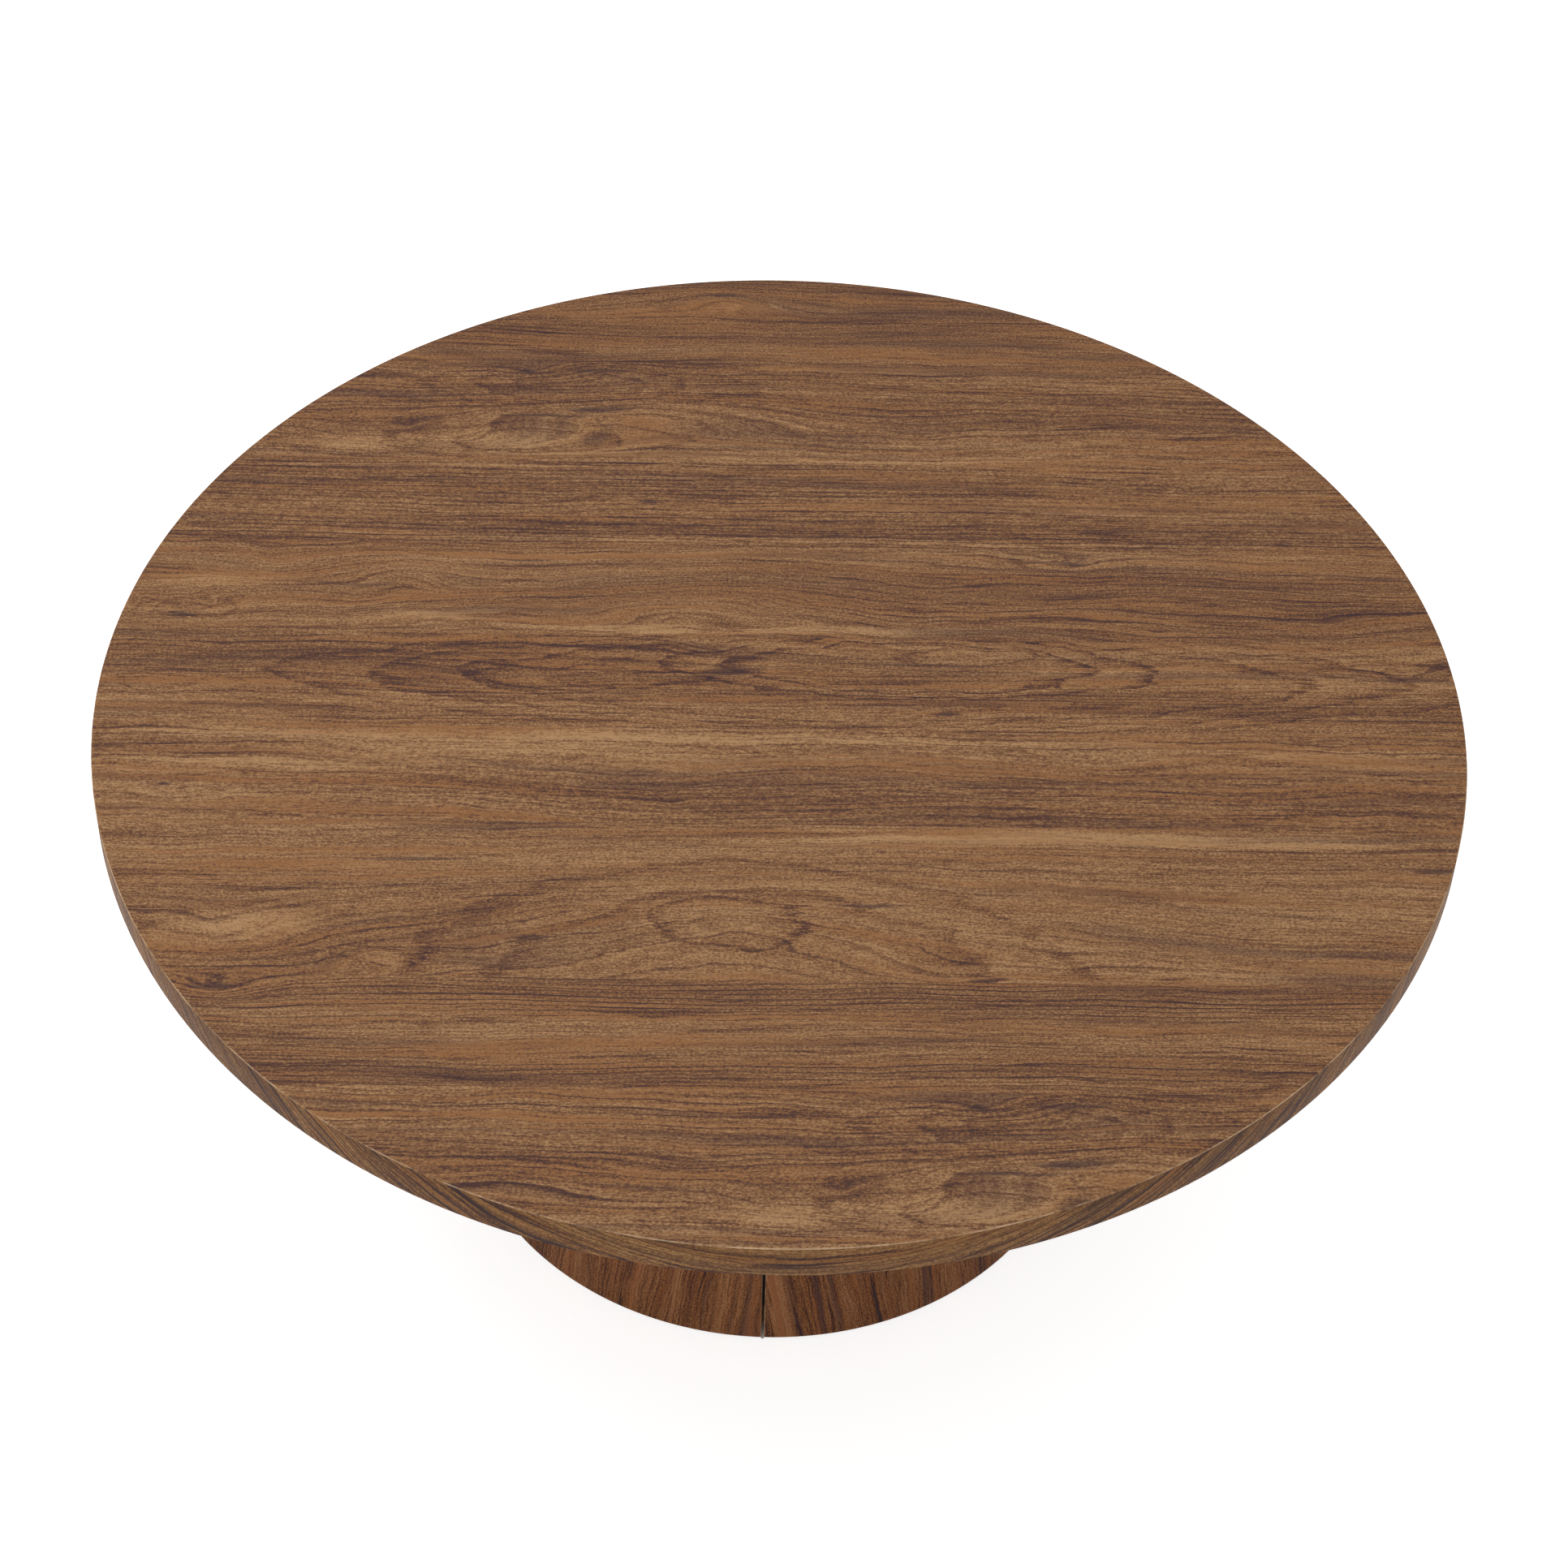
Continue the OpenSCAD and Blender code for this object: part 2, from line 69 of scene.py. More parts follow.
# Thickness of one ply of the bent shells.
PLY_THICKNESS = 0.0024
# How far the foil's roughness swings between its lines and its pale wood, and the height of
# its embossed pores.
GLOSS_SWING = 0.14
PRINT_RELIEF = 0.00009
# The bend round the upper edge is painted pale, as wear and as a painted highlight, from this far
# inside the rim to this far down it.
WEAR_AND_HIGHLIGHT_INSIDE = 0.0008
WEAR_AND_HIGHLIGHT_DEPTH = 0.0009
# The print changes from the look of the face to that of the edge between these depths; there the
# edge also takes its painted shade.
EDGE_DEPTHS = (0.0004, 0.0010)

# The floor's half width, and the strength of the glow that only the background's rays see.
FLOOR_REACH = 12.0
FLOOR_GLOW = 0.68
# How far inside the drum's foot that glow starts and is full: under the wall, and in the open
# joints, which stay dark.
FADE_UNDER_WALL = (0.012, 0.007)
FADE_IN_JOINT = (0.0015, 0.0005)
# Where the softboxes hang and how wide they are. The key lamp looks at the middle of the top.
KEY_PLACE, KEY_SIZE = (-0.6, 0.2, 2.6), 2.2
FILL_PLACE, FILL_AIM, FILL_SIZE = (-1.5, -2.2, 1.2), (0.0, 0.0, 0.2), 2.0


# ---- Settings ----

def length(name, about, value):
    return bpy.props.FloatProperty(name=name, description=about, default=value,
                                   unit="LENGTH", subtype="DISTANCE")


def angle(name, about, degrees):
    return bpy.props.FloatProperty(name=name, description=about, default=radians(degrees),
                                   subtype="ANGLE")


def share(name, about, value, highest=1.0):
    return bpy.props.FloatProperty(name=name, description=about, default=value, min=0.0,
                                   max=highest, subtype="FACTOR")


def colour(name, about, value):
    return bpy.props.FloatVectorProperty(name=name, description=about, default=value, size=3,
                                         min=0.0, max=1.0, subtype="COLOR")


class TableWalnut(bpy.types.PropertyGroup):
    """Sizes and colours of the walnut print, and the painted shade and highlight of the top's
    edge.
    """
    grain_lean: angle("Grain lean", "Turn of the planks from the table's X axis", 1.3)
    ring_pitch: length("Ring pitch", "Distance between dark lines in plain stretches", 0.0046)
    light: colour("Light wood", "Palest wood of the top", (0.386, 0.220, 0.106))
    middle: colour("Middle wood", "Body colour of the top", (0.190, 0.0900, 0.0405))
    warm: colour("Warm wood", "Orange streaks of the top", (0.270, 0.120, 0.046))
    dark: colour("Dark wood", "Dark lines of the top", (0.090, 0.0410, 0.0280))
    stain: colour("Mineral stain", "Darkest streaks and knots", (0.042, 0.0235, 0.0270))
    drum_light: colour("Drum light wood", "Palest wood of the drum", (0.365, 0.162, 0.070))
    drum_warm: colour("Drum warm wood", "Orange streaks of the drum", (0.285, 0.098, 0.034))
    drum_middle: colour("Drum middle wood", "Body colour of the drum", (0.180, 0.0650, 0.0215))
    drum_dark: colour("Drum dark wood", "Dark lines of the drum", (0.050, 0.0165, 0.0100))
    roughness: share("Roughness", "Roughness of the foil", 0.6)
    sheen: share("Reflection", "Specular level of the foil", 0.07)
    # Painted shade: the foil down the edge is the same foil as on the face, made darker and warmer
    # to stand in for the lesser light on the edge and to damp its grey reflection.
    edge_tint: colour("Edge tint", "Painted shade, darker and warmer, on the foil down the edge",
                      (1.0, 0.95, 0.78))
    # Also the colour of the pale line round the top's bend, which is partly wear and partly a
    # painted highlight.
    raw_edge_and_highlight: colour("Raw edge and highlight", "Paper that shows where the foil is cut or rubbed",
                     (0.62, 0.43, 0.27))


class TableForms(bpy.types.PropertyGroup):
    """Shapes of the foil skins."""
    bend_radius: length("Bend radius", "Bend of the foil round the upper edge", 0.0008)
    bend_steps: bpy.props.IntProperty(name="Bend steps", description="Facets of that bend",
                                      default=6, min=2, max=16)
    turns: bpy.props.IntProperty(name="Turns", description="Facets round the whole table",
                                 default=288, min=64, max=720)
    taper: angle("Taper", "Lean of the drum's wall from upright", 5.0)
    rubbed_edge: length("Rubbed edge", "Width of the pale line where the foil ends", 0.0008)


class TableFinishes(bpy.types.PropertyGroup):
    """Colours of the board, the timber, the metal and the plastic."""
    fibreboard: colour("Fibreboard", "Raw board and plates", (0.40, 0.265, 0.150))
    backing: colour("Backing", "Sheet under the board", (0.050, 0.031, 0.021))
    ply: colour("Ply", "Bent shells, face veneer", (0.56, 0.42, 0.26))
    ply_cross: colour("Cross ply", "Darker plies of the shells", (0.37, 0.245, 0.135))
    cleat: colour("Cleats", "Near-black cleats behind the joints", (0.020, 0.014, 0.011))
    beech: colour("Beech", "Planed battens", (0.45, 0.265, 0.135))
    zinc: colour("Zinc plate", "Screws, bolts, nuts and washers", (0.58, 0.60, 0.62))
    casting: colour("Zinc casting", "Cam nuts", (0.36, 0.37, 0.385))
    powder: colour("Powder coat", "Pivot brackets", (0.018, 0.018, 0.020))
    brass: colour("Brass", "Catch and keeper", (0.60, 0.40, 0.15))
    rubber: colour("Rubber", "Pads and buffers", (0.022, 0.022, 0.024))
    nylon: colour("Nylon", "Pivot bushes", (0.70, 0.66, 0.56))
    plastic: colour("Plastic", "Glides under the drum", (0.030, 0.028, 0.027))


class TableStage(bpy.types.PropertyGroup):
    """Camera, lamps and floor."""
    distance: length("Camera distance", "From the camera to the middle of the top", 2.4024)
    elevation: angle("Elevation", "Height of the camera above the horizon", 44.231)
    pan: angle("Pan", "Turn of the camera to the side", 0.083)
    tilt: angle("Tilt", "Turn of the camera up or down", 1.3035)
    roll: angle("Roll", "Turn of the camera about its view", -1.7005)
    lens: bpy.props.FloatProperty(name="Lens", description="Focal length on a 36 mm sensor",
                                  default=83.64, unit="CAMERA")
    world: share("World light", "Strength of the even light", 0.60, 2.0)
    key: bpy.props.FloatProperty(name="Key lamp", description="Power of the overhead softbox",
                                 default=30.0, unit="POWER")
    fill: bpy.props.FloatProperty(name="Fill lamp", description="Power of the front softbox",
                                  default=8.0, unit="POWER")
    floor: colour("Floor", "Colour of the floor", (0.86, 0.86, 0.86))


# ---- Node building ----

def joined(operation, turned=False):
    """A method that joins two values with one Math node."""
    def join(self, other):
        return self.net.math(operation, *((other, self) if turned else (self, other)))
    return join


class Value:
    """What a socket gives. Sums and comparisons with it are Math nodes."""

    def __init__(self, net, socket):
        self.net = net
        self.socket = socket

    def __abs__(self):
        return self.net.math("ABSOLUTE", self)

    __add__, __radd__ = joined("ADD"), joined("ADD", True)
    __sub__, __rsub__ = joined("SUBTRACT"), joined("SUBTRACT", True)
    __mul__, __rmul__ = joined("MULTIPLY"), joined("MULTIPLY", True)
    __truediv__, __pow__ = joined("DIVIDE"), joined("POWER")
    __lt__, __gt__ = joined("LESS_THAN"), joined("GREATER_THAN")


class Net:
    """A node tree with short ways to add and join nodes."""

    def __init__(self, tree):
        self.tree = tree

    def add(self, kind, **settings):
        made = self.tree.nodes.new(kind)
        for key, value in settings.items():
            setattr(made, key, value)
        return made

    def feed(self, socket, value):
        if isinstance(value, Value):
            self.tree.links.new(value.socket, socket)
            return
        if hasattr(socket.default_value, "__len__") and len(socket.default_value) == 4:
            value = tuple(value)[:3] + (1.0,)
        socket.default_value = value

    def make(self, kind, inputs, output=0, **settings):
        """What a new node gives when its inputs are fed."""
        made = self.add(kind, **settings)
        for key, value in inputs.items():
            self.feed(made.inputs[key], value)
        return Value(self, made.outputs[output])

    def math(self, operation, *values):
        return self.make("ShaderNodeMath", dict(enumerate(values)), operation=operation)

    def most(self, first, second):
        return self.math("MAXIMUM", first, second)

    def vector(self, x, y, z=0.0):
        return self.make("ShaderNodeCombineXYZ", {"X": x, "Y": y, "Z": z})

    def split(self, vector):
        made = self.add("ShaderNodeSeparateXYZ")
        self.feed(made.inputs[0], vector)
        return [Value(self, each) for each in made.outputs]

    def place(self):
        """X, Y and Z in the object's own frame."""
        return self.split(Value(self, self.add("ShaderNodeTexCoord").outputs["Object"]))

    def noise(self, along, across, rate_along, rate_across, layer=0.0, detail=2.0,
              roughness=0.5):
        """Noise stretched along the grain: rates are features a metre each way."""
        place = self.vector(along * rate_along, across * rate_across, layer)
        return self.make("ShaderNodeTexNoise", {"Vector": place, "Scale": 1.0, "Detail": detail,
                                                "Roughness": roughness},
                         "Fac", noise_dimensions="3D")

    def span(self, value, low, high, to_low=0.0, to_high=1.0, smooth=True):
        return self.make("ShaderNodeMapRange", {"Value": value, "From Min": low,
                                                "From Max": high, "To Min": to_low,
                                                "To Max": to_high},
                         "Result", clamp=True,
                         interpolation_type="SMOOTHSTEP" if smooth else "LINEAR")

    def mix(self, share_of_second, first, second, blend="MIX"):
        return self.make("ShaderNodeMix", {"Factor": share_of_second, 6: first, 7: second}, 2,
                         data_type="RGBA", blend_type=blend)

    def cover(self, body, *layers):
        """A colour under layers of a mask and a colour each."""
        for mask, tint in layers:
            body = self.mix(mask, body, tint)
        return body


def socket_name(argument):
    """The name that an argument has as a group's input."""
    return argument.replace("_", " ").title()


def new_tree(name, build, outputs):
    """A node group whose inputs are the keyword arguments of the function that builds it."""
    kinds = {float: "NodeSocketFloat", tuple: "NodeSocketColor", type(None): "NodeSocketVector"}
    tree = bpy.data.node_groups.new(name, "ShaderNodeTree")
    for argument, default in build.__kwdefaults__.items():
        made = tree.interface.new_socket(name=socket_name(argument), in_out="INPUT",
                                         socket_type=kinds[type(default)])
        if default is not None:
            made.default_value = default + (1.0,) if isinstance(default, tuple) else default
    for label in outputs:
        kind = kinds[tuple if label == "Color" else float]
        tree.interface.new_socket(name=label, in_out="OUTPUT", socket_type=kind)
    net = Net(tree)
    given = net.add("NodeGroupInput").outputs
    leave = net.add("NodeGroupOutput").inputs
    results = build(net, **{argument: Value(net, given[socket_name(argument)])
                            for argument in build.__kwdefaults__})
    for label, result in zip(outputs, results if len(outputs) > 1 else (results,)):
        net.feed(leave[label], result)
    return tree


def node_group(*outputs):
    """Makes a function a shader node group, built once and placed wherever it is called.

    The function takes the group's inputs as keywords: a number is a value, a triple a colour
    and None a vector. It returns the group's outputs in the order named.
    """
    def wrap(build):
        name = build.__name__.replace("_", " ").capitalize()

        def place(net, **values):
            tree = bpy.data.node_groups.get(name) or new_tree(name, build, outputs)
            made = net.add("ShaderNodeGroup", node_tree=tree)
            for argument, value in values.items():
                net.feed(made.inputs[socket_name(argument)], value)
            results = [Value(net, made.outputs[label]) for label in outputs]
            return results if len(results) > 1 else results[0]
        return place
    return wrap


@node_group("Lift")
def figure_lift(net, *, along=0.0, across=0.0, centre_along=0.0, centre_across=0.0,
                half_length=0.1, half_width=0.02, lift=0.02, point=2.0):
    """How far a figure, such as an eye or a knot, pushes the rings across the grain."""
    run = (along - centre_along) / half_length
    rise = (across - centre_across) / half_width
    return net.math("EXPONENT", (rise * rise + abs(run) ** point) * -1.0) * lift


@node_group("Across")
def ring_wander(net, *, along=0.0, across=0.0, seed=0.0, sway=0.03, ripple=0.3):
    """The place across the grain after the rings have swayed slowly and rippled quickly."""
    slow = net.noise(along, across, 3.0, 12.0, seed) - 0.5
    quick = net.noise(along, across, 20.0, 40.0, seed) - 0.5
    return (quick * ripple + slow) * sway + across


@node_group("Mask")
def dark_blot(net, *, along=0.0, across=0.0, ragged=0.5, centre_along=0.0, centre_across=0.0,
              half_length=0.02, half_width=0.004, strength=1.0):
    """A ragged dark mark that runs out along the grain, from 0 outside to 1 at its heart."""
    run = (along - centre_along) / half_length
    rise = (across - centre_across) / half_width
    return net.span(rise * rise + run * run + ragged * 1.3, 0.45, 1.75, 1.0, 0.0) * strength


@node_group("Mask")
def eye_lines(net, *, along=0.0, across=0.0, ragged=0.5, centre_along=0.0, centre_across=0.0,
              half_length=0.1, half_width=0.02, point=1.4, spread=0.3, rings=3.0, strength=1.0):
    """Dark outlines nested round the eye of a figure, pointed at both ends and ragged.

    The mask is a little below 0 just inside each outline, where the wood glows pale.
    """
    run = (along - centre_along) / half_length
    rise = (across - centre_across) / half_width
    reach = net.math("SQRT", rise * rise + abs(run) ** point)
    phase = (reach - 1.0) / spread + (ragged - 0.5) * 0.3
    place = net.math("FRACT", phase)
    line = net.span(place, 0.62, 0.97) * net.span(place, 0.97, 1.0, 1.0, 0.0)
    fade = net.span(ragged, 0.36, 0.60, 0.25, 1.0)
    glow = net.span(place, 0.50, 0.05, 0.0, -0.20)
    kept = (phase > -1.0) * (phase < rings - 1.0)
    return (line * fade + glow) * kept * strength


@node_group("Wear and highlight")
def worn_and_highlit_edge(net, *, along=0.0, across=0.0, rate=30.0, nearness=0.0, least=0.1, most=0.8):
    """How pale an edge is, from 0 to 1: uneven, between Least and Most; wear on the drum's joints,
    wear and a painted highlight round the top's bend.

    Nearness is 1 at the edge itself and 0 where the pale ends; Rate is patches a metre.
    """
    patches = net.noise(along, across, rate, rate, 2.0, 4.0, 0.65)
    return net.span(patches, 0.38, 0.60, least, most) * nearness


@node_group("Color", "Relief", "Gloss")
def walnut_print(net, *, along=0.0, across=0.0, rings=0.0, figure=0.0, pitch=0.0046, lines=0.5,
                 streaks=1.0, tone=0.0, blot=0.0, seed=0.0, light=(0.5, 0.5, 0.5),
                 warm=(0.4, 0.3, 0.2), middle=(0.3, 0.3, 0.3), dark=(0.1, 0.1, 0.1),
                 stain=(0.05, 0.05, 0.05)):
    """Printed walnut: streaks, growth lines, fibres and pores that follow the rings.

    Along runs with the grain and Across over it, in metres; Rings is Across after every
    figure has pushed it, so that all that follows the rings bends with them. Figure is 1
    where a figure pushes hard, and keeps the lines there thin.
    """
    def ringed(rate_along, rate_across, detail=2.0, roughness=0.6, layer=seed):
        """Noise that follows the rings."""
        return net.noise(along, rings, rate_along, rate_across, layer, detail, roughness)

    plain = 1.0 - figure
    broad = ringed(1.6, 26.0, 2.0, 0.5)
    medium = ringed(5.0, 150.0, 3.0)
    narrow = ringed(14.0, 720.0, 2.0, 0.7)
    fibre = net.noise(along, across, 90.0, 1250.0, seed, 2.0, 0.7)
    grit = net.noise(along, across, 560.0, 800.0, seed, 1.0)

    # Growth lines: each ring darkens slowly and ends at a sharp edge, some far more than others.
    phase = rings / pitch + ringed(3.0, 70.0, 2.0, 0.5) * 3.0
    place = net.math("FRACT", phase)
    ring = net.math("FLOOR", phase)
    odds = net.add("ShaderNodeTexWhiteNoise", noise_dimensions="2D")
    net.feed(odds.inputs["Vector"], net.vector(ring, seed))
    delay, boldness = (Value(net, odds.outputs[name]) for name in ("Value", "Color"))
    start = delay * 0.18 + (figure * 0.22 + 0.50)
    late = net.span(place, start, 0.96) ** 1.6
    edge = net.span(place, 0.96, 1.0, 1.0, 0.0)
    broken = net.most(lines * 0.8 - 0.75, 0.08)
    gaps = net.span(net.noise(along, ring, 6.0, 1.7, seed, 2.0, 0.6), 0.34, 0.52, broken, 1.0)
    gaps = net.most(gaps, figure * 0.8)
    bundle = net.span(broad, 0.62, 0.38, 0.45, 1.25)
    line = late * edge * ((boldness * 0.7 + 0.35) * (gaps * bundle))
    line = line * (lines * (figure * 0.2 + 0.75))

    # Streaks and dashes: broken dark strokes between the lines, long ones and short ones.
    dashes = net.span(ringed(19.0, 430.0, layer=seed + 4.0), 0.56, 0.70)
    strokes = net.span(ringed(8.0, 190.0, layer=seed + 9.0), 0.57, 0.70)
    strokes = (strokes * (streaks * 0.35) + dashes * 0.3) * (plain * lines)

    # Value of the wood: 0 is the darkest line, 0.5 the body and 1 the palest streak.
    value = 0.60
    for layer, weight in ((broad, streaks * 0.95), (medium, streaks * 0.58), (narrow, 0.90),
                          (fibre, 1.10), (grit, 1.6)):
        value = (layer - 0.5) * weight + value
    value = value + tone - line * 0.55 - strokes
    ember = net.span(ringed(3.5, 110.0, layer=seed + 2.0), 0.44, 0.72, 0.0, 0.8)
    veil = net.span(ringed(3.2, 62.0, 3.0, layer=seed + 5.0), 0.53, 0.68, 0.0, 0.40)
    shade = net.most(line * 0.55, veil * (plain * 0.7 + 0.3))

    # Pores: short dark strokes that lie along the grain.
    pores = net.span(net.noise(along, across, 150.0, 1100.0, seed + 7.0, 1.0, 0.4), 0.58, 0.70)
    body = net.cover(middle, (net.span(value, 0.5, 1.1, smooth=False), light), (ember, warm),
                     (net.span(value, 0.5, 0.05, smooth=False), dark),
                     (net.span(value, 0.05, -0.5, smooth=False), stain),
                     (shade, stain), (pores * 0.35, dark), (blot, stain))
    return body, fibre + grit - pores * 0.6 - line * 0.3, pores * 0.5 + medium * 0.5


# ---- Materials ----

class Material(Net):
    """The nodes of a new material with a Principled shader."""

    def __init__(self, name):
        self.made = bpy.data.materials.new(name)
        self.made.use_nodes = True
        super().__init__(self.made.node_tree)

    def shade(self, **inputs):
        """Feeds the shader and gives the material."""
        shader = self.tree.nodes["Principled BSDF"]
        for name, value in inputs.items():
            self.feed(shader.inputs[name.replace("_", " ")], value)
        return self.made

    def finish(self, body, roughness, height, depth, **others):
        """Feeds the shader. Height, from 0 to 1, raises the surface by depth in metres."""
        bump = self.make("ShaderNodeBump", {"Strength": 1.0, "Distance": depth,
                                            "Height": height}, "Normal")
        return self.shade(Base_Color=body, Roughness=roughness, Normal=bump, **others)


@node_group("Cloud", "Grit", "Scratch")
def fine_detail(net, *, place=None, cloud_rate=60.0, grit_rate=2500.0, scratch_rate=1500.0):
    """Uneven colour, grit and rubbed scratches for timber, metal and plastic.

    Cloud is soft and slow, Grit fine and even, and Scratch lies in thin lines along X of the
    place that is fed in. All run from 0 to 1.
    """
    x, y, z = net.split(place)

    def spread(rate, stretch, detail, roughness=0.5):
        return net.noise(x, y, rate * stretch, rate, z * rate, detail, roughness)

    return (net.span(spread(cloud_rate, 1.0, 4.0, 0.6), 0.3, 0.7), spread(grit_rate, 1.0, 1.0),
            net.span(spread(scratch_rate, 0.02, 1.0), 0.58, 0.72))


def turned_place(net, axis):
    """The object's own place, turned so that X lies along the named axis."""
    x, y, z = net.place()
    return {"X": (x, y, z), "Y": (y, z, x), "Z": (z, x, y)}[axis]


def detailed(net, axis, cloud_rate, grit_rate, scratch_rate):
    """The outputs of the Fine detail group, laid along an axis."""
    return fine_detail(net, place=net.vector(*turned_place(net, axis)), cloud_rate=cloud_rate,
                       grit_rate=grit_rate, scratch_rate=scratch_rate)


def tinted(value, factor):
    """A colour made lighter or darker."""
    return tuple(min(1.0, each * factor) for each in value)


def tints(net, base, cloud, low, high, *layers):
    """A colour that drifts between two of its tints, under masks with a tint each."""
    return net.cover(net.mix(cloud, tinted(base, low), tinted(base, high)),
                     *((mask, tinted(base, factor)) for mask, factor in layers))


def plain_finish(name, base, roughness, cloud_rate=40.0, grit_rate=2500.0, contrast=0.12,
                 depth=0.00003, axis="X", metal=0.0):
    """Metal, plastic or rubber: uneven colour and gloss, a fine grit and light scratches."""
    net = Material(name)
    cloud, grit, scratch = detailed(net, axis, cloud_rate, grit_rate, 1400.0)
    body = tints(net, base, cloud, 1.0 - contrast, 1.0 + contrast, (grit * 0.35, 0.7),
                 (scratch * 0.35, 1.5))
    return net.finish(body, cloud * 0.16 + (roughness - 0.10) + scratch * 0.12,
                      grit - scratch * 0.5, depth, Metallic=metal)


@node_group("Streaks", "Fibre", "Flecks")
def timber_grain(net, *, along=0.0, across=0.0, streak_rate=120.0, fleck_rate=600.0):
    """Grain of real timber and veneer: streaks, fibres and dark flecks, each from 0 to 1."""
    flecks = net.noise(along, across, 160.0, fleck_rate, 8.0, 1.0, 0.4)
    return (net.noise(along, across, 4.0, streak_rate, 3.0, 3.0, 0.6),
            net.noise(along, across, 60.0, 1800.0, 5.0, 2.0, 0.6), net.span(flecks, 0.60, 0.70))


def timber(name, light, dark, axis, rates, contrast, roughness, depth=0.00006):
    """Solid timber: streaks, fibres and flecks along an axis."""
    net = Material(name)
    along, across, through = turned_place(net, axis)
    streaks, fibre, flecks = timber_grain(net, along=along, across=across + through * 1.3,
                                          streak_rate=rates[0], fleck_rate=rates[1])
    value = (streaks - 0.5) * contrast + 0.5 + (fibre - 0.5) * 0.5
    body = net.cover(net.mix(value, dark, light), (flecks * 0.55, tinted(dark, 0.7)))
    return net.finish(body, (fibre - 0.5) * 0.2 + roughness, fibre - flecks * 0.5, depth)


def fibreboard(look):
    """Raw fibreboard: matted fibres with darker specks and a dusty, dull face."""
    net = Material("fibreboard")
    cloud, grit, _ = detailed(net, "X", 25.0, 1900.0, 700.0)
    body = tints(net, look.fibreboard, cloud, 0.88, 1.1,
                 (net.span(grit, 0.55, 0.7, 0.0, 0.5), 0.5),
                 (net.span(grit, 0.42, 0.3, 0.0, 0.4), 1.45))
    return net.finish(body, cloud * 0.1 + 0.82, grit, 0.0001, Specular_IOR_Level=0.2)


def bent_ply(look, taper):
    """Bent shells: five plies seen on the edge, and upright veneer on the face."""
    net = Material("bent_ply")
    x, y, z = net.place()
    outer = DRUM_FOOT_RADIUS - (z - DRUM_FOOT) * tan(taper)
    plies = (outer - net.math("SQRT", x * x + y * y)) / PLY_THICKNESS
    cross = net.math("MODULO", net.math("FLOOR", plies), 2.0)
    streaks, fibre, flecks = timber_grain(
        net, along=z, across=net.math("ARCTAN2", y, x) * DRUM_FOOT_RADIUS, streak_rate=170.0,
        fleck_rate=500.0)
    glue = net.span(net.math("FRACT", plies), 0.12, 0.0, 0.0, 0.6)
    body = net.cover(net.mix(streaks, tinted(look.ply, 0.74), tinted(look.ply, 1.16)),
                     (fibre * 0.3, look.ply_cross), (flecks * 0.3, tinted(look.ply_cross, 0.6)),
                     (cross * 0.75, look.ply_cross), (glue, tinted(look.ply_cross, 0.5)))
    return net.finish(body, fibre * 0.15 + 0.6, fibre, 0.00006)


def backing_sheet(look):
    """Plain dark sheet with a fine emboss, dulled by dust and a few scuffs."""
    net = Material("dark_backing")
    cloud, grit, scratch = detailed(net, "X", 9.0, 1300.0, 260.0)
    body = tints(net, look.backing, cloud, 0.85, 1.2, (grit * 0.5, 0.6), (scratch * 0.25, 2.4))
    return net.finish(body, cloud * 0.12 + 0.52, grit, 0.00012)


# Planks of the top's print from the back to the front. Edge is where each begins across the
# grain, in metres from the middle of the table; lines is how strong its growth lines are, pitch
# how far apart as a share of the ring pitch, sway how far they wander and streaks how strong
# the broad streaks are.
Plank = namedtuple("Plank", "name edge tone lines pitch sway streaks")
PLANKS = [
    Plank("back", 9.0, -0.12, 1.15, 1.0, 0.030, 1.0),
    Plank("knotty", 0.350, 0.04, 1.05, 1.1, 0.038, 1.0),
    Plank("striped", 0.239, -0.01, 1.40, 0.9, 0.018, 0.8),
    Plank("wavy", 0.152, -0.03, 1.15, 1.1, 0.050, 1.0),
    Plank("cathedral", 0.061, 0.01, 1.20, 1.4, 0.028, 1.0),
    Plank("pale", -0.027, 0.09, 1.05, 1.2, 0.045, 1.1),
    Plank("arched", -0.113, 0.07, 0.95, 1.4, 0.035, 0.8),
    Plank("grey", -0.245, 0.02, 1.50, 0.85, 0.024, 0.8),
]
# In front of this edge the second plank is printed again, moved by this much along and across.
LAST_EDGE = -0.332
REPEAT = (0.3, -0.682)

# What is drawn on the planks. Each row holds the inputs of a node group, in the order of the
# names above its table, in metres along and across the grain.
FIGURE = ("centre_along", "centre_across", "half_length", "half_width", "lift", "point")
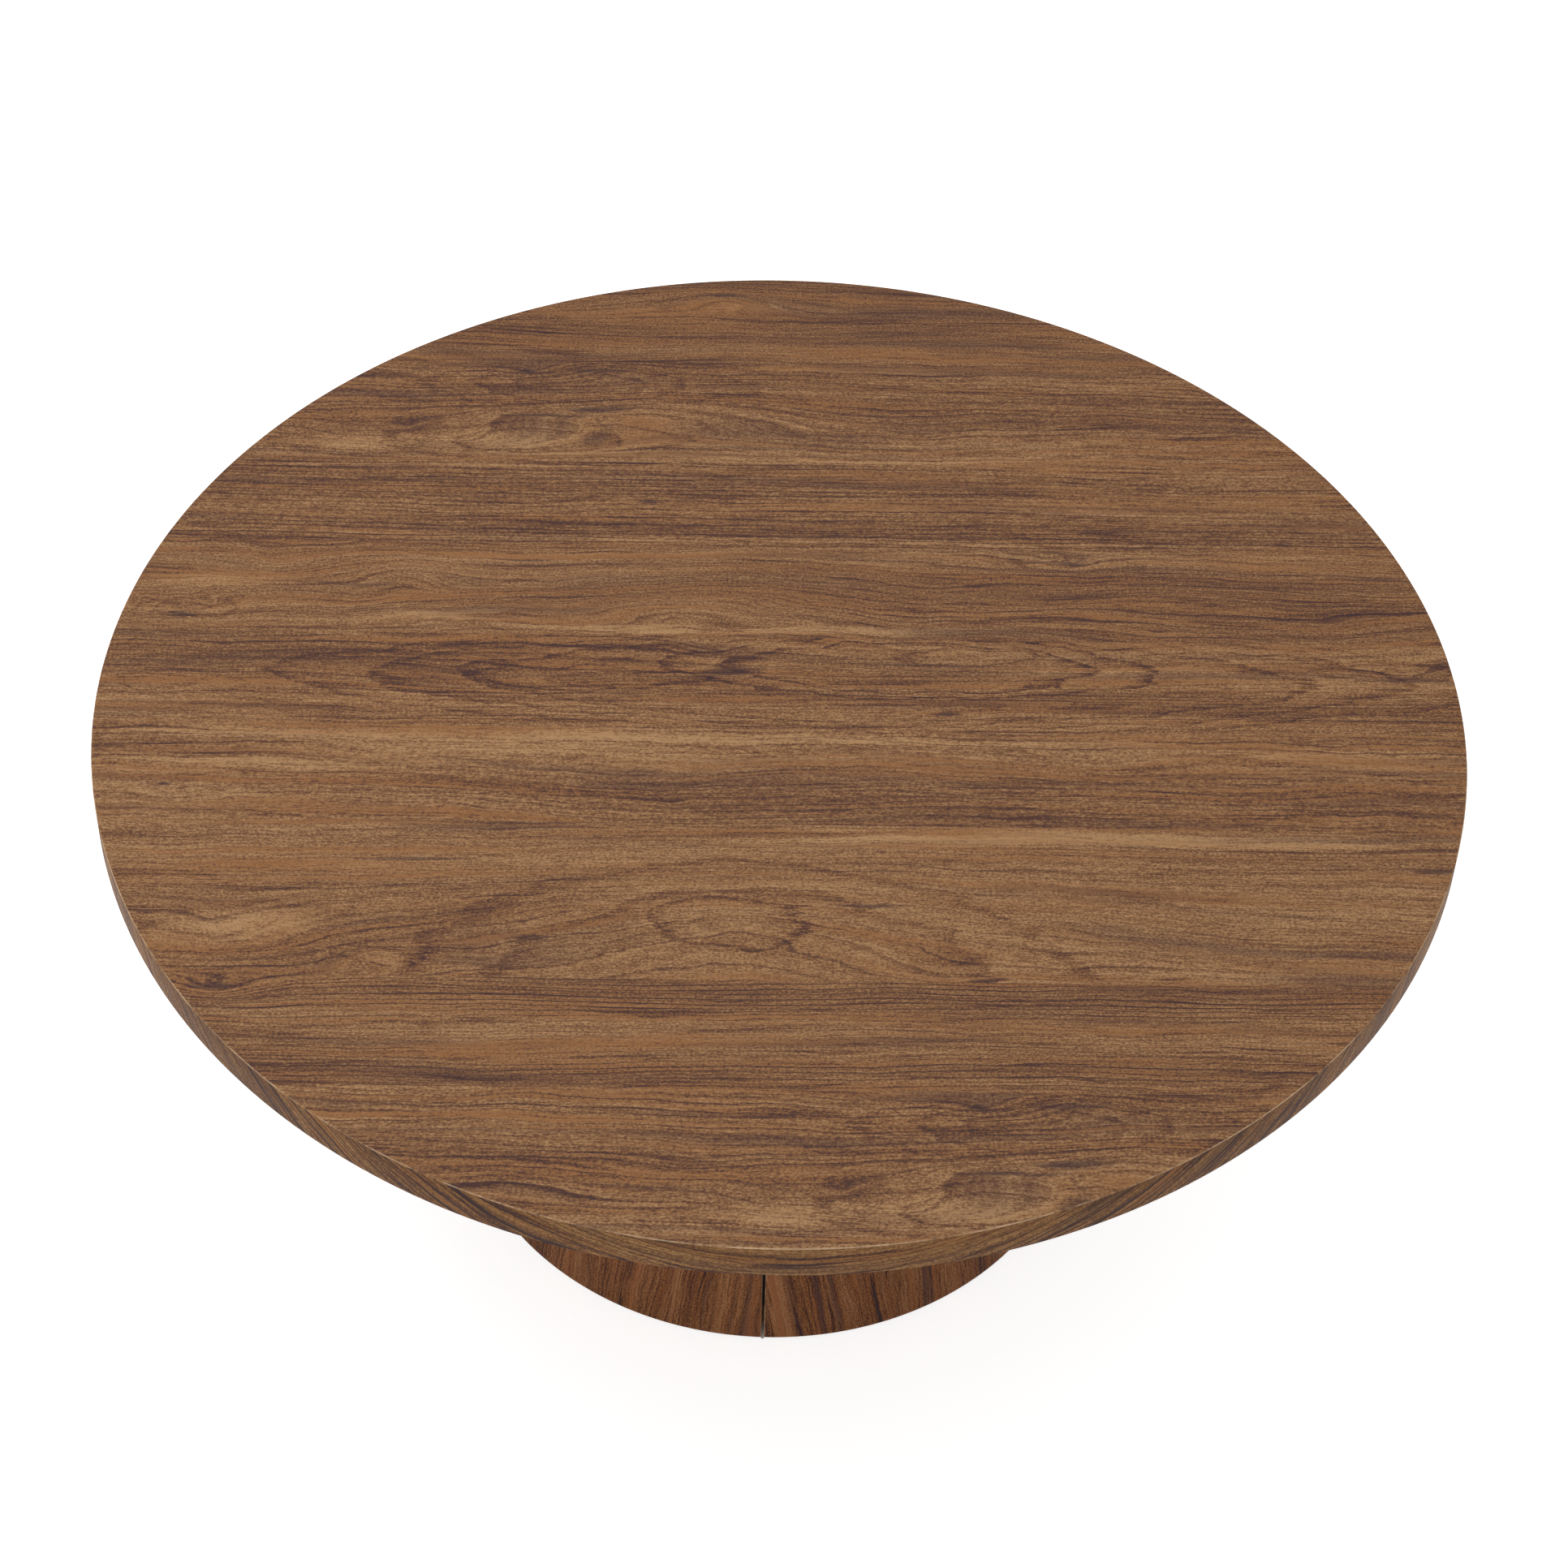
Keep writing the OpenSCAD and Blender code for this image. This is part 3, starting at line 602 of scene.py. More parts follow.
# Figures bend the rings: lift is how far, and point how sharp their ends are, from 1, a point,
# to 2, round.
FIGURES = {
    "back": [(-0.040, 0.425, 0.060, 0.014, -0.016, 1.5)],
    "knotty": [(-0.100, 0.290, 0.110, 0.026, -0.026, 1.6),
               (-0.230, 0.262, 0.120, 0.020, 0.026, 1.5),
               (-0.180, 0.340, 0.016, 0.008, 0.010, 1.4),
               (-0.120, 0.338, 0.030, 0.010, -0.012, 1.4)],
    "wavy": [(-0.345, 0.125, 0.040, 0.016, 0.012, 1.6), (-0.250, 0.118, 0.045, 0.016, -0.012, 1.6),
             (-0.050, 0.105, 0.110, 0.036, -0.024, 1.7), (0.200, 0.138, 0.022, 0.008, 0.010, 1.3),
             (-0.400, 0.083, 0.030, 0.008, 0.009, 1.3)],
    "cathedral": [(0.080, 0.038, 0.260, 0.026, 0.022, 1.3),
                  (-0.160, 0.016, 0.090, 0.014, 0.010, 1.2),
                  (0.420, 0.032, 0.035, 0.010, 0.013, 1.2)],
    "pale": [(0.210, -0.060, 0.090, 0.020, 0.014, 1.6),
             (-0.392, -0.092, 0.018, 0.007, 0.008, 1.4)],
    "arched": [(-0.030, -0.205, 0.100, 0.036, -0.016, 1.5),
               (-0.020, -0.190, 0.240, 0.060, -0.026, 1.5),
               (-0.248, -0.229, 0.030, 0.010, -0.016, 1.6),
               (-0.350, -0.215, 0.080, 0.024, 0.020, 1.5)],
    "grey": [(-0.345, -0.256, 0.030, 0.010, 0.012, 1.5)],
}

EYE = FIGURE[:4] + ("point", "spread", "rings", "strength")
# Eyes are outlines nested round a centre. Spread is the gap between two as a share of the
# innermost one, and rings is how many there are.
EYES = {
    "knotty": [(-0.300, 0.253, 0.050, 0.011, 1.7, 0.6, 2, 0.35),
               (-0.175, 0.262, 0.055, 0.014, 1.3, 0.6, 2, 0.60),
               (-0.140, 0.322, 0.045, 0.012, 1.3, 0.5, 3, 0.50)],
    "wavy": [(0.200, 0.138, 0.016, 0.0045, 1.2, 0.8, 2, 0.6),
             (-0.404, 0.081, 0.016, 0.0060, 1.3, 0.7, 2, 0.6)],
    "cathedral": [(0.085, 0.032, 0.130, 0.0250, 1.5, 0.22, 2, 1.1),
                  (0.120, 0.043, 0.050, 0.0085, 1.5, 0.6, 1, 0.7),
                  (0.075, 0.022, 0.285, 0.0440, 1.25, 0.13, 3, 0.65),
                  (-0.130, 0.018, 0.078, 0.0120, 1.1, 0.5, 1, 0.9),
                  (0.425, 0.034, 0.030, 0.0080, 1.2, 0.6, 2, 0.5),
                  (-0.420, 0.012, 0.030, 0.0100, 1.1, 0.5, 2, 0.4)],
    "pale": [(0.330, -0.058, 0.110, 0.012, 1.1, 0.5, 1, 0.4)],
    "arched": [(-0.030, -0.197, 0.050, 0.024, 1.5, 0.6, 1, 0.9),
               (-0.025, -0.247, 0.155, 0.082, 1.4, 0.28, 2, 0.55),
               (-0.248, -0.229, 0.020, 0.0090, 1.8, 0.7, 1, 1.0),
               (-0.360, -0.214, 0.060, 0.018, 1.1, 0.5, 1, 0.3)],
}

MARK = FIGURE[:4] + ("strength",)
# Dark marks are knots and mineral streaks.
DARK_MARKS = {
    "back": [(-0.042, 0.428, 0.022, 0.0022, 0.8)],
    "knotty": [(-0.182, 0.341, 0.008, 0.0035, 0.9), (-0.130, 0.342, 0.030, 0.0030, 0.7),
               (-0.130, 0.296, 0.030, 0.0050, 0.85), (-0.165, 0.288, 0.040, 0.0022, 0.7),
               (-0.130, 0.262, 0.012, 0.0120, 0.5), (0.330, 0.278, 0.012, 0.0030, 0.6)],
    "striped": [(-0.092, 0.196, 0.009, 0.0025, 0.7), (0.220, 0.170, 0.040, 0.0022, 0.5)],
    "wavy": [(0.200, 0.138, 0.014, 0.0035, 0.85), (0.170, 0.141, 0.035, 0.0018, 0.6),
             (-0.403, 0.081, 0.012, 0.0045, 0.8), (0.408, 0.131, 0.025, 0.0025, 0.6),
             (-0.178, 0.137, 0.025, 0.0020, 0.6), (-0.300, 0.108, 0.060, 0.0022, 0.5)],
    "cathedral": [(-0.035, 0.026, 0.026, 0.0050, 0.85), (0.108, -0.011, 0.010, 0.0035, 0.8),
                  (-0.222, 0.020, 0.022, 0.0022, 0.3), (-0.062, 0.022, 0.030, 0.0020, 0.3),
                  (0.420, 0.030, 0.028, 0.0040, 0.7), (0.100, 0.034, 0.060, 0.0040, 0.45)],
    "pale": [(-0.398, -0.092, 0.008, 0.0020, 0.9)],
    "arched": [(-0.232, -0.148, 0.045, 0.0030, 0.6), (-0.155, -0.214, 0.016, 0.0030, 0.7),
               (0.055, -0.188, 0.022, 0.0022, 0.7), (0.125, -0.240, 0.014, 0.0025, 0.8),
               (0.415, -0.151, 0.025, 0.0022, 0.8)],
    "grey": [(-0.345, -0.254, 0.022, 0.0030, 0.8)],
}
# Pale marks are patches and streaks of lighter wood.
PALE_MARKS = {
    "back": [(-0.025, 0.414, 0.035, 0.008, 0.5)],
    "knotty": [(-0.300, 0.256, 0.060, 0.012, 0.35), (-0.200, 0.258, 0.060, 0.012, 0.28),
               (0.060, 0.344, 0.120, 0.004, 0.35), (0.000, 0.244, 0.300, 0.003, 0.35)],
    "striped": [(0.000, 0.157, 0.420, 0.0040, 0.40), (-0.330, 0.161, 0.140, 0.004, 0.4),
                (0.150, 0.192, 0.260, 0.0040, 0.20), (-0.250, 0.232, 0.200, 0.003, 0.3)],
    "wavy": [(-0.020, 0.070, 0.200, 0.007, 0.55), (-0.220, 0.077, 0.070, 0.006, 0.45),
             (-0.380, 0.112, 0.060, 0.010, 0.30)],
    "cathedral": [(0.020, 0.052, 0.220, 0.004, 0.2), (0.230, 0.030, 0.100, 0.012, 0.15)],
    "pale": [(-0.330, -0.036, 0.110, 0.006, 0.5), (0.370, -0.040, 0.090, 0.008, 0.5),
             (0.020, -0.034, 0.300, 0.005, 0.4), (-0.330, -0.070, 0.100, 0.006, 0.25)],
    "arched": [(0.200, -0.124, 0.260, 0.008, 0.55), (-0.335, -0.208, 0.060, 0.010, 0.30)],
}
# Dark streaks on the edge of the top lie in the print along X and Y.
EDGE_MARKS = [
    (-0.395, -0.193, 0.040, 0.0030, 0.65), (-0.425, -0.110, 0.040, 0.0018, 0.50),
    (-0.325, -0.285, 0.040, 0.0016, 0.55), (0.200, -0.400, 0.050, 0.0100, 0.45),
    (0.270, -0.350, 0.040, 0.0040, 0.60), (0.365, -0.250, 0.040, 0.0016, 0.50),
]

# Marks on the drum's print, for its left and its right half. Along is measured from the point
# of the cone and across from the middle of the half, so that the front joint is at -0.35.
DRUM_DARK_MARKS = {
    -1: [(2.53, -0.338, 0.120, 0.0035, 0.45), (2.47, -0.255, 0.110, 0.0030, 0.4),
         (2.50, -0.312, 0.150, 0.0018, 0.35)],
    1: [(2.50, -0.312, 0.120, 0.0035, 0.7), (2.53, -0.301, 0.100, 0.0030, 0.6),
        (2.46, -0.262, 0.100, 0.0030, 0.5), (2.50, -0.235, 0.120, 0.0025, 0.4)],
}
DRUM_PALE_MARKS = {
    -1: [(2.52, -0.287, 0.160, 0.0070, 0.55), (2.52, -0.262, 0.120, 0.0035, 0.50),
         (2.50, -0.322, 0.130, 0.0030, 0.30)],
    1: [(2.53, -0.340, 0.140, 0.0090, 0.40), (2.48, -0.281, 0.110, 0.0040, 0.40)],
}
# How far the foil is rubbed at the joints, on the drum's left and its right half.
DRUM_WEAR = {-1: 0.12, 1: 0.80}


def gathered(net, group, columns, rows, join, **inputs):
    """Places a group once for each row of a table, and joins all that they give."""
    total = 0.0
    for row in rows:
        total = net.math(join, total, group(net, **inputs, **dict(zip(columns, row))))
    return total


def finish_foil(net, look, body, height, gloss):
    """Gives a foil its colour, and the gloss and relief of its print."""
    return net.finish(body, gloss * GLOSS_SWING + (look.roughness - GLOSS_SWING / 2), height,
                      PRINT_RELIEF, Specular_IOR_Level=look.sheen)


def foil_place(net):
    """The place in the print, along X and Y. The edge mirrors the face's margin, so that lines
    which meet at the rim lean away from it at the same angle."""
    x, y, z = net.place()
    reach = net.most(net.math("SQRT", x * x + y * y), 0.001)
    depth = TOP_HEIGHT - z
    spread = (reach - depth) / reach
    return x * spread, y * spread, reach, depth


def walnut_top_material(look):
    """The print of the top: planks with figures, laid across the table."""
    net = Material("walnut_foil_top")
    x, y, reach, depth = foil_place(net)
    over_edge = net.span(depth, *EDGE_DEPTHS)
    on_face = 1.0 - over_edge
    lean_cos, lean_sin = cos(look.grain_lean), sin(look.grain_lean)
    along = x * lean_cos + y * lean_sin
    across = y * lean_cos - x * lean_sin

    # 1 inside each plank and 0 outside it
    repeated = across < LAST_EDGE
    below = [across < plank.edge for plank in PLANKS] + [repeated]
    inside = {plank.name: below[number] - below[number + 1]
              for number, plank in enumerate(PLANKS)}
    inside["knotty"] = inside["knotty"] + repeated
    along = along - repeated * REPEAT[0]
    across = across - repeated * REPEAT[1]

    def by_plank(values):
        """A value for each plank, as one that changes from plank to plank."""
        total = 0.0
        for plank, value in zip(PLANKS, values):
            total = inside[plank.name] * value + total
        return total

    def drawn(table, group, columns, join, **inputs):
        """What a table draws on the face, the rows of each plank kept to that plank."""
        total = 0.0
        for name, rows in table.items():
            total = inside[name] * gathered(net, group, columns, rows, join, **inputs) + total
        return total * on_face

    seed = by_plank(3.7 * number for number in range(len(PLANKS)))
    tones, lines, pitches, sways, streaks = (
        by_plank(getattr(plank, kind) for plank in PLANKS)
        for kind in ("tone", "lines", "pitch", "sway", "streaks"))

    # Rings wander, and their tips are frayed along the grain.
    bent = ring_wander(net, along=along, across=across, seed=seed, sway=sways, ripple=0.18)
    fray = net.noise(along, across, 14.0, 520.0, seed, 2.0, 0.6) - 0.5
    ragged = net.noise(along, across, 30.0, 420.0, seed, 3.0, 0.65)
    pushed = drawn(FIGURES, figure_lift, FIGURE, "ADD", along=fray * 0.014 + along,
                   across=across)
    waver = net.noise(along, across, 14.0, 50.0, seed) - 0.5
    waver_across = net.noise(along, across, 20.0, 26.0, seed + 3.0, 3.0) - 0.5
    outlined = drawn(EYES, eye_lines, EYE, "ADD", ragged=ragged,
                     along=waver * 0.070 + along + fray * 0.016,
                     across=waver_across * 0.018 + across)
    marked = {"join": "MAXIMUM", "ragged": ragged, "along": fray * 0.034 + along, "across": bent}
    pale = drawn(PALE_MARKS, dark_blot, MARK, **marked)
    dark = drawn(DARK_MARKS, dark_blot, MARK, **marked)

    # The growth lines are bolder on the edge, and it has dark streaks of its own.
    on_edge = gathered(net, dark_blot, MARK, EDGE_MARKS, "MAXIMUM", along=x, across=y,
                       ragged=ragged)
    # Painted light: the repeated plank at the front is printed 0.05 lighter, to offset the weaker
    # light that falls toward the front.
    body, height, gloss = walnut_print(
        net, along=along, across=across, rings=bent + pushed,
        figure=net.span(abs(pushed), 0.006, 0.022), lines=lines * (over_edge * 1.2 + 1.0),
        tone=tones + pale - outlined * 0.7 + repeated * 0.05, streaks=streaks,
        pitch=pitches * look.ring_pitch, blot=net.most(dark, on_edge * over_edge), seed=seed,
        light=look.light, warm=look.warm, middle=look.middle, dark=look.dark, stain=look.stain)

    # The bend round the upper edge is painted pale, more in some places than in others: partly
    # wear, and partly a painted highlight.
    near = (net.span(reach, TOP_RADIUS - WEAR_AND_HIGHLIGHT_INSIDE, TOP_RADIUS - WEAR_AND_HIGHLIGHT_INSIDE / 2)
            * net.span(depth, WEAR_AND_HIGHLIGHT_DEPTH, EDGE_DEPTHS[0]))
    rub_and_highlight = worn_and_highlit_edge(net, along=x, across=y, rate=26.0, nearness=near, least=0.10, most=0.70)
    # Painted shade: the edge is made darker and warmer than the face, for the lesser light on it
    # and to damp its grey reflection.
    body = net.mix(over_edge, body, look.edge_tint, "MULTIPLY")
    return finish_foil(net, look, net.mix(rub_and_highlight, body, look.raw_edge_and_highlight), height, gloss)


def drum_place(net, side, taper):
    """The place on the flat sheet before it was bent into one half of the drum.

    Along runs up the sheet's middle and across to its sides. The sheet of a cone is a sector,
    so straight grain leans away from the upright towards the joints.
    """
    x, y, z = net.place()
    apex = DRUM_FOOT + DRUM_FOOT_RADIUS / tan(taper)
    slant = (apex - z) / cos(taper)
    outward = x * side
    swing = net.math("ARCTAN2", y, outward) * sin(taper)
    return slant * net.math("COSINE", swing), slant * net.math("SINE", swing), outward


def walnut_drum_material(look, side, forms):
    """The print of one half of the drum, with its grain running up."""
    net = Material("walnut_foil_drum" + ("_right" if side > 0 else "_left"))
    along, across, outward = drum_place(net, side, forms.taper)
    seed = 31.0 + side * 6.0
    rings = ring_wander(net, along=along, across=across, seed=seed, sway=0.030, ripple=0.25)
    ragged = net.noise(along, across, 30.0, 420.0, seed, 3.0, 0.65)
    pale, dark = (gathered(net, dark_blot, MARK, table[side], "MAXIMUM", along=along,
                           across=rings, ragged=ragged)
                  for table in (DRUM_PALE_MARKS, DRUM_DARK_MARKS))
    body, height, gloss = walnut_print(
        net, along=along, across=across, rings=rings, pitch=look.ring_pitch * 0.8, lines=1.3,
        streaks=1.8, tone=pale + 0.02, blot=dark, seed=seed, light=look.drum_light,
        warm=look.drum_warm, middle=look.drum_middle, dark=look.drum_dark, stain=look.stain)
    # The foil's edge at the joint is rubbed down to its pale paper.
    near = net.span(outward, SEAM_HALF_GAP + forms.rubbed_edge, SEAM_HALF_GAP + 0.0002)
    rub_and_highlight = worn_and_highlit_edge(net, along=along, across=across, rate=40.0, nearness=near, least=0.10,
                    most=DRUM_WEAR[side])
    return finish_foil(net, look, net.mix(rub_and_highlight, body, look.raw_edge_and_highlight), height, gloss)


# ---- Skins ----

def new_object(name, data):
    """An object in the scene that shows the data."""
    made = bpy.data.objects.new(name, data)
    bpy.context.scene.collection.objects.link(made)
    return made


def finished_mesh(name, built, material):
    """Turns a bmesh into a smooth object with sharp corners."""
    bmesh.ops.remove_doubles(built, verts=built.verts, dist=1e-7)
    bmesh.ops.recalc_face_normals(built, faces=built.faces)
    mesh = bpy.data.meshes.new(name)
    built.to_mesh(mesh)
    built.free()
    mesh.shade_smooth()
    mesh.set_sharp_from_angle(angle=radians(40.0))
    mesh.materials.append(material)
    return new_object(name, mesh)


def wall(built, columns, closed):
    """Joins columns of points into faces; a closed run joins its last column to its first."""
    count = len(columns)
    for number in range(count if closed else count - 1):
        here, there = columns[number], columns[(number + 1) % count]
        for low in range(len(here) - 1):
            corners = [here[low], there[low], there[low + 1], here[low + 1]]
            if len({tuple(each.co) for each in corners}) > 2:
                built.faces.new(corners)


def top_skin(forms, material):
    """One sheet over the upper face, round the bend and down the edge, with its thickness."""
    bend, steps = forms.bend_radius, forms.bend_steps
    flat = TOP_RADIUS - bend
    outline = [(flat * part, TOP_HEIGHT) for part in (0.0, 0.25, 0.5, 0.75, 0.9, 0.97, 0.99)]
    outline += [(flat + bend * sin(pi / 2 * step / steps),
                 TOP_HEIGHT - bend * (1.0 - cos(pi / 2 * step / steps)))
                for step in range(steps + 1)]
    edge_low = UNDERSIDE + FOIL_THICKNESS / 2
    outline += [(TOP_RADIUS, edge_low), (TOP_RADIUS - FOIL_THICKNESS / 4, UNDERSIDE)]
    inner = TOP_RADIUS - FOIL_THICKNESS
    outline += [(inner, UNDERSIDE), (inner, TOP_HEIGHT - FOIL_THICKNESS)]
    outline += [(inner * part, TOP_HEIGHT - FOIL_THICKNESS) for part in (0.5, 0.0)]
    built = bmesh.new()
    columns = []
    for number in range(forms.turns):
        turn = 2.0 * pi * number / forms.turns
        columns.append([built.verts.new((reach * cos(turn), reach * sin(turn), height))
                        for reach, height in outline])
    wall(built, columns, True)
    return finished_mesh("top_skin", built, material)


def drum_skin(name, side, forms, material):
    """The foil on one half of the drum, cut straight at both joints."""
    rows = 12
    inset = FOIL_THICKNESS
    heights = [DRUM_FOOT + (DRUM_HEAD - DRUM_FOOT) * row / rows for row in range(rows + 1)]

    def reach(height, depth):
        return DRUM_FOOT_RADIUS - (height - DRUM_FOOT) * tan(forms.taper) - depth

    outline = [(height, 0.0) for height in heights] + [(height, inset)
                                                       for height in reversed(heights)]
    count = forms.turns // 2
    built = bmesh.new()
    columns = []
    for number in range(count + 1):
        turn = -pi / 2 + pi * number / count
        column = []
        for height, depth in outline + outline[:1]:
            r = reach(height, depth)
            x = max(r * cos(turn), SEAM_HALF_GAP)
            y = (r * r - x * x) ** 0.5 * (1.0 if turn > 0.0 else -1.0)
            if number not in (0, count):
                y = r * sin(turn)
            column.append(built.verts.new((side * x, y, height)))
        columns.append(column)
    wall(built, columns, False)
    for column in (columns[0], columns[-1]):
        for row in range(rows):
            built.faces.new((column[row], column[row + 1], column[-3 - row], column[-2 - row]))
    return finished_mesh(name, built, material)


def clad(material, *names):
    """Puts one material on CAD nodes, in every slot that they have."""
    for target in (NODES[name] for name in names):
        if not target.material_slots:
            target.data.materials.append(material)
        for each in target.material_slots:
            each.material = material


# ---- Stage ----

def seen_by_camera(net):
    """1 for rays that show the background itself: camera, mirror and glass rays."""
    path = net.add("ShaderNodeLightPath").outputs
    direct, mirrored, through = (Value(net, path[f"Is {kind} Ray"])
                                 for kind in ("Camera", "Glossy", "Transmission"))
    return net.most(net.most(direct, mirrored), through)


def softbox(name, place, aim, size, power):
    """A square area lamp that looks at a point."""
    lamp = bpy.data.lights.new(name, "AREA")
    lamp.shape = "SQUARE"
    lamp.size = size
    lamp.energy = power
    made = new_object(name, lamp)
    made.location = place
    made.rotation_euler = (Vector(aim) - Vector(place)).to_track_quat("-Z", "Y").to_euler()


def set_stage(stage):
    """Floor, world, lamps and camera."""
    scene = bpy.context.scene
    scene.view_settings.view_transform = "Standard"

    mesh = bpy.data.meshes.new("floor")
    built = bmesh.new()
    bmesh.ops.create_grid(built, x_segments=8, y_segments=8, size=FLOOR_REACH)
    built.to_mesh(mesh)
    built.free()
    net = Material("pale_floor")
    x, y, _ = net.place()
    reach = net.math("SQRT", x * x + y * y)
    under_wall = net.span(reach, *(DRUM_FOOT_RADIUS - inset for inset in FADE_UNDER_WALL))
    outside = net.span(reach, *(DRUM_FOOT_RADIUS - inset for inset in FADE_IN_JOINT))
    clear = net.most(outside, under_wall * (abs(x) > SEAM_HALF_GAP))
    mesh.materials.append(net.shade(Base_Color=stage.floor, Roughness=0.9,
                                    Specular_IOR_Level=0.0, Emission_Color=(1.0, 1.0, 1.0),
                                    Emission_Strength=seen_by_camera(net) * clear * FLOOR_GLOW))
    floor = new_object("floor", mesh)

    world = bpy.data.worlds.new("studio")
    world.use_nodes = True
    scene.world = world
    net = Net(world.node_tree)
    sky = world.node_tree.nodes["Background"].inputs
    net.feed(sky["Color"], (1.0, 1.0, 1.0))
    net.feed(sky["Strength"], net.most(seen_by_camera(net), stage.world))

    middle = (0.0, 0.0, TOP_HEIGHT)
    softbox("key_lamp", KEY_PLACE, middle, KEY_SIZE, stage.key)
    softbox("fill_lamp", FILL_PLACE, FILL_AIM, FILL_SIZE, stage.fill)

    lens = bpy.data.cameras.new("camera")
    lens.lens = stage.lens
    lens.sensor_width = 36.0
    camera = new_object("camera", lens)
    turn = (Matrix.Rotation(stage.roll, 3, "Z") @ Matrix.Rotation(stage.tilt, 3, "X")
            @ Matrix.Rotation(stage.pan, 3, "Y"))
    facing = Euler((pi / 2 - stage.elevation, 0.0, 0.0)).to_matrix() @ turn.transposed()
    camera.matrix_world = facing.to_4x4()
    camera.location = Vector(middle) + stage.distance * Vector(
        (0.0, -cos(stage.elevation), sin(stage.elevation)))
    scene.camera = camera


# ---- Operators ----

class TABLE_OT_top_foil(bpy.types.Operator):
    """Lay the walnut foil over the top and down its edge"""
    bl_idname = "table.top_foil"
    bl_label = "Top foil"

    def execute(self, context):
        scene = context.scene
        made = top_skin(scene.table_forms, walnut_top_material(scene.table_walnut))
        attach(made, "top")
        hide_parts("tabletop_foil")
        return {"FINISHED"}


class TABLE_OT_drum_foil(bpy.types.Operator):
    """Bend the walnut foil round the drum's two halves"""
    bl_idname = "table.drum_foil"
    bl_label = "Drum foil"

    def execute(self, context):
        scene = context.scene
        for side, half in ((-1, "left"), (1, "right")):
            finish = walnut_drum_material(scene.table_walnut, side, scene.table_forms)
            made = drum_skin("drum_skin_" + half, side, scene.table_forms, finish)
            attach(made, "base")
            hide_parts("drum_foil_" + half)
        return {"FINISHED"}


class TABLE_OT_boards(bpy.types.Operator):
    """Finish the board, its backing sheet and the drum's plates"""
    bl_idname = "table.boards"
    bl_label = "Boards"

    def execute(self, context):
        look = context.scene.table_finishes
        clad(fibreboard(look), "tabletop_board", "drum_top_plate", "drum_floor_plate")
        clad(backing_sheet(look), "tabletop_backing")
        return {"FINISHED"}


class TABLE_OT_shells(bpy.types.Operator):
    """Finish the bent shells and the cleats behind their joints"""
    bl_idname = "table.shells"
    bl_label = "Shells"

    def execute(self, context):
        look = context.scene.table_finishes
        # The cleats are near black, so the open joints in front of them read dark.
        near_black = timber("stained_cleat", tinted(look.cleat, 1.5), tinted(look.cleat, 0.6), "Z",
                         (180.0, 900.0), 1.4, 0.6)
        clad(bent_ply(look, context.scene.table_forms.taper), "drum_shell_left",
             "drum_shell_right")
        clad(near_black, "seam_cleat_front", "seam_cleat_back")
        return {"FINISHED"}


class TABLE_OT_battens(bpy.types.Operator):
    """Finish the planed beech battens under the top"""
    bl_idname = "table.battens"
    bl_label = "Battens"

    def execute(self, context):
        look = context.scene.table_finishes
        beech = timber("beech", tinted(look.beech, 1.2), tinted(look.beech, 0.68), "Y",
                       (70.0, 420.0), 1.9, 0.48)
        clad(beech, "batten_left", "batten_right")
        return {"FINISHED"}


class TABLE_OT_pivots(bpy.types.Operator):
    """Finish the pivot brackets, bolts, bushes, washers and nuts"""
    bl_idname = "table.pivots"
    bl_label = "Pivots"

    def execute(self, context):
        look = context.scene.table_finishes
        powder = plain_finish("black_steel", look.powder, 0.52, 30.0, 1500.0, 0.2, 0.00012)
        turned = plain_finish("zinc_steel_turned", look.zinc, 0.34, 90.0, 2600.0, 0.1, 0.00002,
                              "X", 1.0)
        nylon = plain_finish("nylon", look.nylon, 0.42, 60.0, 2200.0, 0.05)
        clad(powder, "pivot_bracket_left", "pivot_bracket_right")
        clad(turned, "pivot_bolts", "pivot_washers", "pivot_nuts")
        clad(nylon, "pivot_bushes")
        return {"FINISHED"}


class TABLE_OT_catch(bpy.types.Operator):
    """Finish the brass bolt, its case and knob, the keeper and their screws"""
    bl_idname = "table.catch"
    bl_label = "Catch"

    def execute(self, context):
        look = context.scene.table_finishes
        brass = plain_finish("brass", look.brass, 0.36, 55.0, 2400.0, 0.16, 0.00003, "Y", 1.0)
        clad(brass, "catch_case", "catch_case_screws", "catch_rod", "catch_knob",
             "catch_keeper", "keeper_screws")
        return {"FINISHED"}


class TABLE_OT_fasteners(bpy.types.Operator):
    """Finish the wood screws, the cam nuts and the cam bolts"""
    bl_idname = "table.fasteners"
    bl_label = "Fasteners"

    def execute(self, context):
        look = context.scene.table_finishes
        plated = plain_finish("zinc_steel", look.zinc, 0.36, 90.0, 2600.0, 0.1, 0.00002, "Z", 1.0)
        cast = plain_finish("die_cast_zinc", look.casting, 0.52, 120.0, 1700.0, 0.14, 0.00005,
                            "Z", 1.0)
        clad(plated, "batten_screws", "buffer_screws", "cleat_screws", "bracket_screws",
             "glide_screws", "cam_bolts_upper", "cam_bolts_lower")
        clad(cast, "cam_nuts_upper", "cam_nuts_lower")
        return {"FINISHED"}


